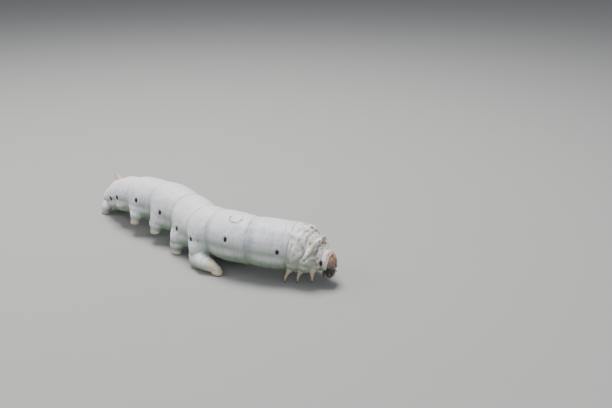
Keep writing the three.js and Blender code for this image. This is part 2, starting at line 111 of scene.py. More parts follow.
# Profiles of the limbs: share of the way from the root to the sole, half length and half width.
PROLEG_PROFILE = (
    (0.0, 2.3, 1.85), (0.3, 2.25, 1.8), (0.5, 2.0, 1.68), (0.62, 1.68, 1.4), (0.72, 1.42, 1.16),
    (0.8, 1.28, 1.05), (0.88, 1.34, 1.1), (0.94, 1.38, 1.14), (0.98, 1.3, 1.06), (1.0, 1.15, 0.9),
)
CLASPER_PROFILE = (
    (0.0, 1.8, 1.2), (0.35, 1.8, 1.3), (0.6, 1.6, 1.2), (0.78, 1.32, 0.97), (0.86, 1.3, 0.95),
    (0.93, 1.36, 1.0), (0.98, 1.25, 0.92), (1.0, 1.1, 0.8),
)
# The depth of the roots under the skin.
PROLEG_SUNK = 1.8
CLASPER_SUNK = 0.9

# Walking legs: station, then how far the hip and the foot lie behind the neck fold, beside the spine and
# over the floor.
LEGS = (
    (0.7, (1.6, 2.3, 3.9), (1.4, 2.9, 1.1)),
    (1.6, (4.1, 2.4, 3.8), (4.8, 3.1, 0.0)),
    (2.5, (6.4, 2.7, 3.6), (7.0, 4.2, 0.0)),
)

# The profile of a walking leg in shares of its hip, with the three joints as narrower places.
LEG_PROFILE = (
    (0, 1.1, 1.1), (0.3, 1, 1), (0.4, 0.82, 0.82), (0.44, 0.55, 0.55), (0.48, 0.56, 0.55), (0.56, 0.5, 0.5),
    (0.64, 0.42, 0.42), (0.665, 0.35, 0.35), (0.7, 0.39, 0.38), (0.84, 0.31, 0.31), (0.87, 0.25, 0.25),
    (0.95, 0.24, 0.22), (1.0, 0.25, 0.2),
)

# Breathing pores: station and angle round from the middle of the back. The first lies on the hood, before
# the neck fold.
SPIRACLES = (
    (-0.12, 92), (3.34, 88), (4.41, 78), (5.54, 97), (6.4, 94), (7.45, 89), (8.49, 84), (9.49, 90),
    (10.45, 94),
)
# The profile of a pore, from its root in the skin over its rim to the sunken sieve: height and share.
PORE_PROFILE = (
    (-0.3, 1.0), (0.03, 1.05), (0.11, 1.06), (0.16, 1.0), (0.17, 0.9), (0.15, 0.8), (0.11, 0.72),
    (0.09, 0.6), (0.08, 0.4), (0.085, 0.16), (0.08, 0.08),
)

# The head, in the directions of its own frame. Its mouth points down a little more than in the solids.
HEAD = {"heading": 4, "pitch": 7, "ahead": 0.88, "z": 4.75, "wide": 2.0, "tall": 2.35, "deep": 1.65}

# The camera of the photo: the point it looks at, its distance, direction in degrees and lens.
LOOK_POINT = (27.2, 3.66, 15.47)
CAMERA_DISTANCE = 137.6
CAMERA_AZIMUTH = 32.0
CAMERA_ELEVATION = 22.1
CAMERA_LENS = 38.97

UP = np.array((0.0, 0.0, 1.0))
DOWN = -UP
SIDES = (("right", 1), ("left", -1))


def unit(vector):
    """The vector at length one."""
    vector = np.asarray(vector, float)
    return vector / (np.linalg.norm(vector, axis=-1, keepdims=True) + 1e-12)


def bell(x, width):
    """A smooth bump of height one."""
    return np.exp(-((np.asarray(x, float) / width) ** 2))


def ease(x, low, high):
    """Rises smoothly from 0 at low to 1 at high, or falls if low is above high."""
    t = np.clip((np.asarray(x, float) - low) / (high - low), 0.0, 1.0)
    return t * t * (3 - 2 * t)


# The spine and the plain skin, as in the solids


def fold_points():
    """Where the spine crosses the folds between segments, from the neck to the tail."""
    points = [np.array(NECK_FOLD)]
    for _, length, heading, _, _, rear_z, _ in SEGMENTS:
        front = points[-1]
        run = math.sqrt(length**2 - (front[2] - rear_z) ** 2)
        turn = math.radians(heading)
        points.append(np.array((front[0] - run * math.cos(turn), front[1] - run * math.sin(turn), rear_z)))
    return np.array(points)


FOLDS = fold_points()
KNOTS = np.vstack((2 * FOLDS[0] - FOLDS[1], FOLDS, 2 * FOLDS[-1] - FOLDS[-2]))


def spine(station):
    """Centre and tangent of the spine at these stations; station 3.5 is the middle of the fourth segment."""
    station = np.clip(np.asarray(station, float), 0.0, COUNT)
    index = np.minimum(station.astype(int), COUNT - 1)
    w = (station - index)[..., None]
    before, start, end, after = (KNOTS[index + k] for k in range(4))
    leave, arrive = (end - before) / 2, (after - start) / 2
    square = -3 * start + 3 * end - 2 * leave - arrive
    cube = 2 * start - 2 * end + leave + arrive
    return start + leave * w + square * w**2 + cube * w**3, leave + 2 * square * w + 3 * cube * w**2


def section(station):
    """Centre, forward, side and up of the cross-section at these stations."""
    centre, tangent = spine(station)
    forward = -unit(tangent)
    side = unit(np.cross(forward, UP))
    return centre, forward, side, np.cross(side, forward)


ROWS = np.array([row[1:] for row in SEGMENTS], float)
CREASES = ROWS[:, 5]


def fold_halves(column, neck, tail):
    """Half sizes of the body at each fold, from the neck to the tail."""
    values = [neck]
    for fold in range(1, COUNT):
        low, high = sorted((ROWS[fold - 1, column], ROWS[fold, column]))
        values.append(low + (high - low) * 0.35 - CREASES[fold - 1])
    return np.array(values + [tail])


FOLD_TALL = fold_halves(2, NECK_RADIUS, TAIL_RADIUS)
FOLD_WIDE = fold_halves(3, NECK_RADIUS, TAIL_RADIUS)


def thorax_fold(station, turn):
    """Height of the great folds of the thorax."""
    height = 0.0
    for at, angle, slant, width, rise, spread in THORAX_FOLDS:
        away = (np.abs(turn) - angle) / spread
        height = height + rise * bell(station - at + slant * away, width) * bell(away, 1)
    return height


def haunch(station, turn):
    """Height of the haunches over the plain flank."""
    height = 0.0
    for at, angle, rise in HAUNCHES:
        along = bell(station - at, HAUNCH_LENGTH)
        height = height + rise * along * bell(np.abs(turn) - angle, HAUNCH_BREADTH)
    return height


def skin_point(station, turn, softness=0.55):
    """Points of the plain skin; turn is in degrees from the middle of the back, positive to the right."""
    station, turn = np.broadcast_arrays(np.asarray(station, float), np.asarray(turn, float))
    centre, _, side, up = section(station)
    index = np.clip(station.astype(int), 0, COUNT - 1)
    share = np.clip(station - index, 0.0, 1.0)
    nearer = np.where(share < 0.5, index, index + 1)
    plump = np.clip(np.sin(np.pi * share), 0, 1) ** softness
    end = np.sqrt(np.clip(1 - (np.abs(share - 0.5) * 2) ** 2.4, 0, 1))
    fullness = np.where(nearer == COUNT, end, plump)
    tall = FOLD_TALL[nearer] + (ROWS[index, 2] - FOLD_TALL[nearer]) * fullness
    wide = FOLD_WIDE[nearer] + (ROWS[index, 3] - FOLD_WIDE[nearer]) * fullness
    angle = np.radians(turn)
    away = np.abs(turn)
    belly = 1 + BELLY_DEPTH * ease(away, 95, 150) * ease(station, 2.6, 3.5)
    lift = sum(rise * bell(away - at, breadth) * plump for at, breadth, rise in FLANK_LINES)
    lift = lift + thorax_fold(station, turn) + haunch(station, turn) * plump
    out = side * (wide * np.sin(angle) * belly)[..., None] + up * (tall * np.cos(angle) * belly)[..., None]
    return centre + out + unit(out) * np.asarray(lift)[..., None]


def skin_normal(station, turn):
    """Outward direction of the plain skin."""
    along = skin_point(station - 0.03, turn) - skin_point(station + 0.03, turn)
    around = skin_point(station, turn + 3) - skin_point(station, turn - 3)
    return unit(np.cross(around, along))


def skin_place(station, turn):
    """A point of the plain skin, also before the neck fold, where the hood is."""
    _, forward, _, _ = section(0.0)
    return skin_point(max(station, 0.0), turn) + forward * (2 * max(-station, 0.0))


def skin_gap(points, station, turn):
    """Distance of points from a place of the plain skin."""
    return np.linalg.norm(points - skin_place(station, turn), axis=1)


# Small tools for meshes


def noise(x, y, z):
    """Smooth seeded noise from -1 to 1."""
    x, y, z = np.broadcast_arrays(*(np.asarray(v, float) for v in (x, y, z)))
    cells = [np.floor(v).astype(np.int64) for v in (x, y, z)]
    weights = [v - c for v, c in zip((x, y, z), cells)]
    weights = [w * w * w * (w * (w * 6 - 15) + 10) for w in weights]
    total = np.zeros(x.shape)
    for corner in range(8):
        steps = (corner & 1, corner >> 1 & 1, corner >> 2 & 1)
        i, j, k = ((c + s).astype(np.uint32) for c, s in zip(cells, steps))
        mixed = i * np.uint32(374761393) ^ j * np.uint32(668265263) ^ k * np.uint32(2246822519)
        mixed = (mixed ^ mixed >> np.uint32(13)) * np.uint32(1274126177)
        value = ((mixed ^ mixed >> np.uint32(16)) & np.uint32(0xFFFF)) / 32767.5 - 1
        share = np.ones(x.shape)
        for weight, step in zip(weights, steps):
            share = share * (weight if step else 1 - weight)
        total += share * value
    return total


def lumps(points, size):
    """Noise at points, with grains of this size."""
    return noise(*(points.T / size))


def loft(rings):
    """Vertices and faces of a closed tube through rings of equal size, with a fan at each end."""
    rings = np.asarray(rings, float)
    rows, sides = rings.shape[:2]
    row, column = np.meshgrid(np.arange(rows - 1), np.arange(sides), indexing="ij")
    a = row * sides + column
    b = row * sides + (column + 1) % sides
    quads = np.stack((a, b, b + sides, a + sides), axis=-1).reshape(-1, 4).tolist()
    points = np.vstack((rings.reshape(-1, 3), rings[0].mean(axis=0), rings[-1].mean(axis=0)))
    first, last = rows * sides, rows * sides + 1
    edge = (rows - 1) * sides
    for side in range(sides):
        after = (side + 1) % sides
        quads.append((first, after, side))
        quads.append((last, edge + side, edge + after))
    return points, quads


def joined(parts):
    """Several pairs of vertices and faces as one."""
    points, faces, shift = [], [], 0
    for some, some_faces in parts:
        points.append(some)
        faces.extend(tuple(v + shift for v in face) for face in some_faces)
        shift += len(some)
    return np.vstack(points), faces


def ring(centre, direction, forward, half_length, half_width, sides):
    """An oval ring that faces along a direction, with its length towards forward."""
    across = unit(np.cross(direction, forward))
    along = unit(np.cross(across, direction))
    angle = np.linspace(0, 2 * np.pi, sides, endpoint=False)[:, None]
    return centre + along * np.cos(angle) * half_length + across * np.sin(angle) * half_width


def bezier(root, out, foot, foot_direction):
    """A bent line from a root to a foot, as a function of the share of the way, with its direction."""
    reach = np.linalg.norm(foot - root)
    a, b, c, d = root, root + out * reach * 0.4, foot - foot_direction * reach * 0.4, foot

    def at(share):
        s = np.asarray(share, float)[..., None]
        return a * (1 - s) ** 3 + 3 * b * s * (1 - s) ** 2 + 3 * c * s**2 * (1 - s) + d * s**3

    def direction(share):
        return unit(at(np.minimum(share + 0.01, 1.0)) - at(np.minimum(share + 0.01, 1.0) - 0.02))

    return at, direction


def round_profile(*rows):
    """A profile of round sections from pairs of share and radius."""
    return [(share, radius, radius) for share, radius in rows]


def tube(line, forward, profile, sides, rows, last_direction=None):
    """Rings along a line; each row of the profile gives a share, a half length and a half width."""
    at, direction = line
    profile = np.array(profile, float)
    shares = np.unique(np.concatenate((np.linspace(profile[0, 0], profile[-1, 0], rows), profile[:, 0])))
    length = np.interp(shares, profile[:, 0], profile[:, 1])
    width = np.interp(shares, profile[:, 0], profile[:, 2])
    rings = []
    for share, half_length, half_width in zip(shares, length, width):
        facing = direction(share)
        if last_direction is not None:
            facing = unit(facing + (last_direction - facing) * ease(share, 0.8, 1.0))
        rings.append(ring(at(share), facing, forward, half_length, half_width, sides))
    return loft(rings)


def bud(centre, direction, reference, half_length, half_width, half_depth, sides, rows):
    """An egg-shaped solid that points along a direction."""
    across = unit(np.cross(direction, reference))
    deep = unit(np.cross(across, direction))
    angle = np.linspace(0, 2 * np.pi, sides, endpoint=False)[:, None]
    rings = []
    for row in np.linspace(0.04, 0.96, rows) * np.pi:
        level = centre - direction * math.cos(row) * half_length
        rings.append(
            level
            + across * np.cos(angle) * math.sin(row) * half_width
            + deep * np.sin(angle) * math.sin(row) * half_depth
        )
    return loft(rings)


def placed(name, data):
    """A new object in the scene."""
    thing = bpy.data.objects.new(name, data)
    bpy.context.scene.collection.objects.link(thing)
    return thing


def mesh_piece(name, points, faces, material, nodes=(), values=None):
    mesh = bpy.data.meshes.new(name)
    mesh.from_pydata((np.asarray(points) * MM).tolist(), [], faces)
    mesh.update()
    return finished_piece(name, mesh, material, nodes, values)


def finished_piece(name, mesh, material, nodes, values=None):
    """Gives a mesh its object, material, point values and body, and hides the solids it stands for."""
    mesh.polygons.foreach_set("use_smooth", np.ones(len(mesh.polygons), bool))
    for key, numbers in (values or {}).items():
        layer = mesh.attributes.new(key, "FLOAT", "POINT")
        layer.data.foreach_set("value", np.asarray(numbers, np.float32))
    mesh.materials.clear()
    mesh.materials.append(material)
    piece = placed(name, mesh)
    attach(piece, "root")
    if nodes:
        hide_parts(*nodes)
    return piece


# Materials


class Wire:
    """A socket of a finish, with the arithmetic that finishes use."""

    def __init__(self, finish, socket):
        self.finish = finish
        self.socket = socket

    def math(self, operation, first, second):
        return self.finish.node("ShaderNodeMath", {"operation": operation}, {0: first, 1: second})

    def __add__(self, other):
        return self.math("ADD", self, other)

    def __mul__(self, other):
        return self.math("MULTIPLY", self, other)

    def __rsub__(self, other):
        return self.math("SUBTRACT", other, self)

    __radd__ = __add__
    __rmul__ = __mul__

    def between(self, low, high):
        """Runs from 0 at low to 1 at high, clamped."""
        return self.finish.node("ShaderNodeMapRange", {"clamp": True}, {0: self, 1: low, 2: high})


class Finish:
    """A procedural material as it is put together."""

    def __init__(self, name):
        self.material = bpy.data.materials.new(name)
        self.material.use_nodes = True
        self.tree = self.material.node_tree
        self.shader = self.tree.nodes["Principled BSDF"]

    def node(self, kind, settings=None, inputs=None, output=0):
        """A node with its settings made first and then its socket values or links."""
        made = self.tree.nodes.new(kind)
        for key, value in (settings or {}).items():
            setattr(made, key, value)
        for key, value in (inputs or {}).items():
            if isinstance(value, Wire):
                self.tree.links.new(value.socket, made.inputs[key])
            else:
                made.inputs[key].default_value = value
        return Wire(self, made.outputs[output])

    def value(self, name):
        """A value that the mesh carries at its points."""
        return self.node("ShaderNodeAttribute", {"attribute_name": name}, output="Fac")

    def noise(self, size, detail=3.0):
        """Noise whose grains have about this size in metres."""
        place = self.node("ShaderNodeTexCoord", output="Object")
        return self.node("ShaderNodeTexNoise", {}, {"Vector": place, "Scale": 1 / size, "Detail": detail})

    def blend(self, share, first, second):
        """A mix of two colours."""
        return self.node("ShaderNodeMix", {"data_type": "RGBA"}, {0: share, 6: first, 7: second}, output=2)

    def bump(self, height, distance, strength):
        """A normal from a height."""
        inputs = {"Height": height, "Distance": distance, "Strength": strength}
        return self.node("ShaderNodeBump", {}, inputs, "Normal")

    def wear(self, **sockets):
        """Sets or links the shader's own sockets; an underscore stands for a space."""
        for key, value in sockets.items():
            socket = self.shader.inputs[key.replace("_", " ")]
            if isinstance(value, Wire):
                self.tree.links.new(value.socket, socket)
            else:
                socket.default_value = value
        return self.material


def colour(values):
    """A colour as the four numbers that a socket takes."""
    return (values[0], values[1], values[2], 1.0)


def skin_finish(looks):
    """Soft, slightly translucent skin with brown markings and painted shade: before the folds, in the creases
    and grooves, and green-grey where the belly and lower flank face down.
    """
    finish = Finish("silkworm_skin")
    cloudy = finish.noise(0.0026).between(0.35, 0.65)
    grain = finish.noise(0.00022)
    speckle = finish.noise(0.00035, 2.0).between(0.66, 0.76)
    thorax = finish.value("thorax")
    limb = finish.value("limb")
    # deep is painted shade, strongest where the skin lies deepest in its fine creases.
    deep = finish.value("crease_shade").between(0.05, 0.9)
    layers = (
        (cloudy * 0.45, looks.back_cool),
        (thorax * 0.7, looks.hump),
        (finish.value("shadow") * 0.8, looks.fold_blue),
        # Painted shade: green-grey where the skin faces down, on the belly and lower flank.
        (finish.value("belly") * 0.95, looks.belly),
        (limb * 0.85, looks.proleg),
        # Painted shade in the fine creases of the abdomen.
        (deep * (1 - thorax) * (0.45 - 0.15 * limb), looks.crease_shade),
        # Painted shade in the wide grooves of the thorax.
        (finish.value("groove") * thorax * 0.75, looks.groove),
        # Painted shade in the fine creases of the thorax.
        (deep * thorax * 0.4, looks.warm_crease_shade),
        (finish.value("stain") * (0.65 + 0.25 * deep), looks.ochre),
        (finish.value("pink") * (0.6 + cloudy * 0.3), looks.neck),
        # Real dark specks, in the grey of the painted crease shade.
        (speckle * 0.3 * (1 - limb), looks.crease_shade),
        (finish.value("mark"), looks.marking),
        (finish.value("sole") * 0.8, looks.pad),
    )
    shade = colour(looks.back)
    for share, tint in layers:
        shade = finish.blend(share, shade, colour(tint))
    return finish.wear(
        Base_Color=shade,
        Roughness=0.36 + grain * 0.2 + cloudy * 0.06,
        Normal=finish.bump(grain, 0.00003, 0.35),
        Subsurface_Weight=0.22,
        Subsurface_Radius=(1.0, 0.9, 0.75),
        Subsurface_Scale=0.0007,
        Specular_IOR_Level=0.45,
    )


def head_finish(looks):
    """Hard glossy skin of the head, darker where the value dark rises."""
    finish = Finish("silkworm_head")
    cloudy = finish.noise(0.0007)
    grain = finish.noise(0.00012)
    upper = finish.blend(cloudy.between(0.4, 0.7) * 0.6, colour(looks.capsule), colour(looks.capsule_blush))
    return finish.wear(
        Base_Color=finish.blend(finish.value("dark"), upper, colour(looks.capsule_low)),
        Roughness=0.3 + grain * 0.15,
        Normal=finish.bump(grain, 0.00002, 0.4),
        Subsurface_Weight=0.1,
        Subsurface_Radius=(1.0, 0.5, 0.3),
        Subsurface_Scale=0.0004,
        Coat_Weight=0.5,
        Coat_Roughness=0.1,
    )


def leg_finish(name, base, tip, glow):
    """Translucent skin of a leg, feeler or lip, which browns towards its tip."""
    finish = Finish(name)
    grain = finish.noise(0.00018)
    base, tip = colour(base), colour(tip)
    shade = finish.blend(finish.value("dark"), base, tip)
    return finish.wear(
        Base_Color=finish.blend(grain.between(0.4, 0.7) * 0.2, shade, tip),
        Roughness=0.3 + grain * 0.2,
        Normal=finish.bump(grain, 0.00002, 0.3),
        Subsurface_Weight=glow,
        Subsurface_Radius=(1.0, 0.6, 0.35),
        Subsurface_Scale=0.0006,
    )


def gloss_finish(name, base, light, roughness, coat=0.5):
    """A dark glossy finish, a little paler in clouds."""
    finish = Finish(name)
    cloudy = finish.noise(0.0004)
    return finish.wear(
        Base_Color=finish.blend(cloudy.between(0.4, 0.75) * 0.5, colour(base), colour(light)),
        Roughness=roughness + cloudy * 0.1,
        Coat_Weight=coat,
        Coat_Roughness=0.05,
    )


# Settings that a user would change


def tone(name, description, default):
    """A colour setting."""
    return bpy.props.FloatVectorProperty(
        name=name, description=description, subtype="COLOR", size=3, min=0, max=1, default=default
    )


def measure(name, description, default):
    """A length setting, in metres."""
    return bpy.props.FloatProperty(
        name=name, description=description, unit="LENGTH", min=0, precision=6, default=default
    )


class SilkwormSizes(bpy.types.PropertyGroup):
    """Sizes of the fine forms."""

    skin_grain: measure("Skin grain", "Edge length of the faces of the skin", 0.0001)
    crumple: measure("Crumple", "Height of the crumpled folds of the thorax", 0.00033)
    wrinkle: measure("Wrinkle", "Height of the fine cross wrinkles", 0.00008)
    annulet: measure("Annulet", "Depth of the shallow rings on each abdominal segment", 0.00007)
    fold: measure("Fold", "Depth of the folds between the segments", 0.00013)
    pleat: measure("Pleat", "Height of the pleats below the breathing pores", 0.00016)
    pore_tall: measure("Pore height", "Half height of a breathing pore", 0.0005)
    pore_long: measure("Pore length", "Half length of a breathing pore", 0.00033)
    leg_hip: measure("Hip", "Half thickness of a walking leg at its root", 0.0008)
    claw: measure("Claw", "Length of the claw of a walking leg", 0.00045)
    eyelet: measure("Eyelet", "Radius of one of the twelve small eyes", 0.0002)
    horn: measure("Horn", "Height of the tail horn", 0.0017)
    hair: measure("Hair", "Length of the sparse fine hairs", 0.0005)


class SilkwormLooks(bpy.types.PropertyGroup):
    """Colours."""

    back: tone("Back", "The back", (0.85, 0.84, 0.87))
    back_cool: tone("Back, cool", "Cooler clouds on the back", (0.72, 0.75, 0.81))
    hump: tone("Thorax", "The ridges of the thorax", (0.80, 0.80, 0.76))
    fold_blue: tone("Fold shade", "The shade beside the front folds", (0.42, 0.50, 0.56))
    # Painted shade in the creases and folds of the abdomen; the real dark specks use this grey too.
    crease_shade: tone("Crease", "The folds of the abdomen", (0.30, 0.34, 0.37))
    # Painted shade in the fine creases of the thorax.
    warm_crease_shade: tone("Thorax crease", "The folds of the thorax", (0.30, 0.29, 0.21))
    # Painted shade in the wide grooves of the thorax.
    groove: tone("Thorax groove", "The wide grooves of the thorax", (0.46, 0.48, 0.37))
    # Painted shade where the belly and lower flank face down.
    belly: tone("Belly", "The belly and lower flank", (0.24, 0.32, 0.22))
    ochre: tone("Stains", "Ochre and olive patches of the thorax", (0.38, 0.31, 0.16))
    neck: tone("Neck", "The skin round the head", (0.62, 0.34, 0.25))
    marking: tone("Marking", "The crescents and spots", (0.25, 0.13, 0.05))
    proleg: tone("Proleg", "The soft prolegs", (0.68, 0.60, 0.42))
    pad: tone("Sole", "The soles of the prolegs", (0.50, 0.30, 0.19))
    leg: tone("Leg", "The walking legs", (0.62, 0.54, 0.38))
    leg_tip: tone("Leg tip", "The tips of the walking legs", (0.38, 0.19, 0.12))
    capsule: tone("Head", "The upper head", (0.38, 0.21, 0.13))
    capsule_low: tone("Head, low", "The lower head", (0.03, 0.016, 0.011))
    capsule_blush: tone("Head, blush", "Paler clouds on the head", (0.50, 0.32, 0.23))
    jaw: tone("Jaw", "The jaws, the upper lip and the claws", (0.03, 0.015, 0.011))
    lip: tone("Lip", "The lower lip and the palps", (0.10, 0.055, 0.035))
    lip_tip: tone("Lip tip", "The tips of the lower lip and the palps", (0.05, 0.025, 0.018))
    feeler: tone("Feeler", "The feelers", (0.14, 0.075, 0.05))
    feeler_tip: tone("Feeler tip", "The tips of the feelers", (0.06, 0.03, 0.02))
    eye: tone("Eye", "The small eyes", (0.008, 0.006, 0.005))
    pore: tone("Pore", "The breathing pores", (0.012, 0.010, 0.009))
    horn: tone("Horn", "The tail horn", (0.72, 0.50, 0.33))
    horn_tip: tone("Horn tip", "The tip of the tail horn", (0.42, 0.22, 0.11))
    hair: tone("Hair", "The fine hairs", (0.62, 0.55, 0.44))
    floor: tone("Floor", "The floor", (0.36, 0.36, 0.355))


def settings(context):
    """The sizes and looks of the scene."""
    return context.scene.silkworm_sizes, context.scene.silkworm_looks


# The skin


def limb_part(side, station, angle, reach, step, lift, size, profile, sunk):
    """Line, forward direction, profile and sole height of one proleg or clasper."""
    _, forward, right, _ = section(station)
    ahead = unit(forward * (1, 1, 0))
    skin = skin_point(station, angle * side)
    out = skin_normal(station, angle * side)
    foot = skin + ahead * reach + right * step * side
    foot[2] = lift
    profile = [(share, long * size, wide * size) for share, long, wide in profile]
    return bezier(skin - out * sunk, out, foot, DOWN), ahead, profile, lift


def limb_parts():
    """The parts of every proleg and clasper."""
    parts = [limb_part(side, *row, PROLEG_PROFILE, PROLEG_SUNK) for row in PROLEGS for side in (1, -1)]
    return parts + [limb_part(side, *CLASPER, CLASPER_PROFILE, CLASPER_SUNK) for side in (1, -1)]


def plain_body():
    """The plain closed body from the hood over the head to the tail."""
    stations = np.concatenate((np.linspace(0, 3, 150), np.linspace(3, COUNT, 470)[1:]))
    turns = np.linspace(-180, 180, 132, endpoint=False)
    rings = skin_point(stations[:, None], turns[None, :], PLUMPNESS)
    return loft(np.concatenate((hood(np.radians(turns), rings[0]), rings)))


def hood(turn, neck):
    """Rings of the soft fold that covers the back of the head, from inside its rim to the neck."""
    across, rise = np.sin(turn), np.cos(turn)
    reach = 0.42 + 0.1 * across**2 - 1.0 * ease(-rise, 0.2, 0.9)
    rim = head_point(2.14 * across, reach, np.where(rise > 0, 2.2, 1.75) * rise)
    middle = rim.mean(axis=0)
    steps = ((0.7, -0.6), (0.88, -0.05), (0.96, 0.08))
    rings = [middle + (rim - middle) * scale + FACE * step for scale, step in steps]
    for share in (0.0, 0.1, 0.22, 0.36, 0.5, 0.64, 0.78, 0.9):
        swell = 0.2 * math.sin(math.pi * min(1.0, 0.12 + share)) + 0.05 * math.cos(share * 22)
        rings.append(rim + (neck - rim) * share + unit(rim - middle) * swell)
    return np.array(rings)


def neighbours(mesh):
    """Edge ends and the count of edges at each vertex."""
    ends = np.empty(len(mesh.edges) * 2, np.int32)
    mesh.edges.foreach_get("vertices", ends)
    ends = ends.reshape(-1, 2)
    count = np.bincount(ends.ravel(), minlength=len(mesh.vertices)).astype(float)
    return ends, count


def averaged(values, ends, count):
    """Mean of the values of the neighbours of each vertex."""
    total = np.zeros_like(values)
    for axis in range(values.shape[1]):
        total[:, axis] = np.bincount(ends[:, 0], values[ends[:, 1], axis], len(values))
        total[:, axis] += np.bincount(ends[:, 1], values[ends[:, 0], axis], len(values))
    return total / count[:, None]


def places(mesh):
    """Vertex positions and normals of a mesh as arrays."""
    points = np.empty(len(mesh.vertices) * 3)
    mesh.vertices.foreach_get("co", points)
    normals = np.empty(len(mesh.vertices) * 3, np.float32)
    mesh.vertex_normals.foreach_get("vector", normals)
    return points.reshape(-1, 3), normals.reshape(-1, 3).astype(float)


def body_coordinates(points):
    """Station and turn of points near the skin."""
    samples = np.linspace(0, COUNT, 261)
    centres = spine(samples)[0]
    station = np.empty(len(points))
    for start in range(0, len(points), 20000):
        part = points[start : start + 20000]
        gap = ((part[:, None, :] - centres[None]) ** 2).sum(axis=2)
        station[start : start + 20000] = samples[gap.argmin(axis=1)]
    for _ in range(3):
        centre, tangent = spine(station)
        step = ((points - centre) * tangent).sum(axis=1) / (tangent**2).sum(axis=1)
        station = np.clip(station + np.clip(step, -0.1, 0.1), 0, COUNT)
    centre, _, side, up = section(station)
    out = points - centre
    return station, np.degrees(np.arctan2((out * side).sum(axis=1), (out * up).sum(axis=1)))


def limb_shares(points, parts):
    """How far along the nearest proleg or clasper each point lies, and its distance from that middle line."""
    share = np.zeros(len(points))
    near = np.full(len(points), 99.0)
    for (at, _), _, profile, _ in parts:
        profile = np.array(profile)
        steps = np.linspace(0, 1, 41)
        line = at(steps)
        width = np.interp(steps, profile[:, 0], profile[:, 1:].mean(axis=1))
        close = np.flatnonzero(np.linalg.norm(points - line[20], axis=1) < 6)
        gap = np.linalg.norm(points[close][:, None] - line[None], axis=2) / width[None]
        best = gap.argmin(axis=1)
        value = gap[np.arange(len(close)), best]
        better = value < near[close]
        near[close[better]] = value[better]
        share[close[better]] = steps[best[better]]
    return share, near


STATIONS = np.linspace(0, COUNT, 1301)
ARC = np.concatenate(((0,), np.cumsum(np.linalg.norm(np.diff(spine(STATIONS)[0], axis=0), axis=1))))

# Single ridges and grooves of the thorax: height and half width in millimetres, then their course as pairs of
# station and angle. The left side has the same, a little displaced.
WELTS = (
    (0.36, 0.46, ((1.2, -12), (1.23, 13), (1.39, 29), (1.38, 45), (1.43, 61), (1.62, 76), (1.72, 91))),
    (0.26, 0.42, ((0.9, -20), (0.6, 14), (0.48, 40), (0.68, 55), (0.93, 69))),
    (0.26, 0.32, ((0.97, 62), (1.05, 73), (1.22, 81), (1.41, 95), (1.63, 106))),
    (0.2, 0.3, ((0.12, 35), (0.12, 61), (0.29, 81), (0.83, 95))),
    (0.3, 0.6, ((3.02, 30), (2.92, 36), (2.75, 38))),
    (0.2, 0.4, ((2.5, 20), (2.45, 45), (2.3, 70))),
    (0.22, 0.35, ((2.0, 70), (2.1, 90), (2.35, 105), (2.6, 112))),
    (-0.38, 0.34, ((1.0, -13), (0.97, 13), (0.94, 33), (1.02, 50), (1.18, 60), (1.33, 69), (1.54, 84))),
    (-0.13, 0.3, ((0.3, 20), (0.26, 40), (0.3, 55), (0.49, 67))),
    (-0.28, 0.32, ((2.07, 104), (1.97, 88), (1.82, 74), (1.86, 55))),
    (-0.2, 0.28, ((2.75, 62), (2.62, 84), (2.72, 104))),
)


def welts(arc, away, sway):
    """Height of the single ridges and grooves of the thorax."""
    height = np.zeros(len(arc))
    x, y = arc, np.radians(away) * THORAX_RADIUS + sway
    for rise, half, course in WELTS:
        course = [(np.interp(at, STATIONS, ARC), math.radians(angle) * THORAX_RADIUS) for at, angle in course]
        gap = np.full(len(arc), 99.0)
        for (x0, y0), (x1, y1) in zip(course, course[1:]):
            span = (x1 - x0) ** 2 + (y1 - y0) ** 2
            share = np.clip(((x - x0) * (x1 - x0) + (y - y0) * (y1 - y0)) / span, 0, 1)
            gap = np.minimum(gap, np.hypot(x - x0 - share * (x1 - x0), y - y0 - share * (y1 - y0)))
        height += rise * bell(gap, half)
    return height


# Brown markings of both sides: station, angle, half length and half width in millimetres, and strength.
SPOTS = (
    (4.48, 19, 0.3, 0.5, 0.6),
    (2.36, 11, 0.55, 0.75, 1.0),
    (2.1, 24, 0.6, 0.4, 0.45),
    (2.72, 21, 0.5, 0.6, 0.6),
    (2.9, 46, 0.7, 0.35, 0.25),
    (1.22, 11, 0.35, 0.45, 0.65),
    (5.25, 98, 0.2, 0.28, 0.85),
)
# Crescents of both sides, open to the middle of the back: the same, then the share that their line takes.
CRESCENTS = ((4.34, 20, 1.3, 1.15, 0.95, 0.2), (7.35, 18, 1.0, 0.8, 0.22, 0.16))


def marking(station, turn):
    """Strength of the brown markings."""
    arc = np.interp(station, STATIONS, ARC)
    girth = np.radians(np.abs(turn)) * GIRTH_RADIUS
    ragged = noise(arc / 0.5, girth / 0.5, 40 + np.sign(turn)) * 0.5 + 0.5

    def offset(at, angle, long, wide):
        along = arc - np.interp(at, STATIONS, ARC)
        return along / long, (girth - math.radians(angle) * GIRTH_RADIUS) / wide

    marks = np.zeros(len(arc))
    for at, angle, long, wide, strength in SPOTS:
        gap = np.hypot(*offset(at, angle, long, wide))
        marks = np.maximum(marks, strength * bell(gap + 0.5 * (ragged - 0.5), 0.8))
    for at, angle, long, wide, strength, line in CRESCENTS:
        x, y = offset(at, angle, long, wide)
        drawn = bell(np.hypot(x, y) - 1, line) * ease(y, -0.75, -0.15)
        marks = np.maximum(marks, strength * drawn * (0.5 + 0.5 * ragged))
    return np.clip(marks, 0, 1)


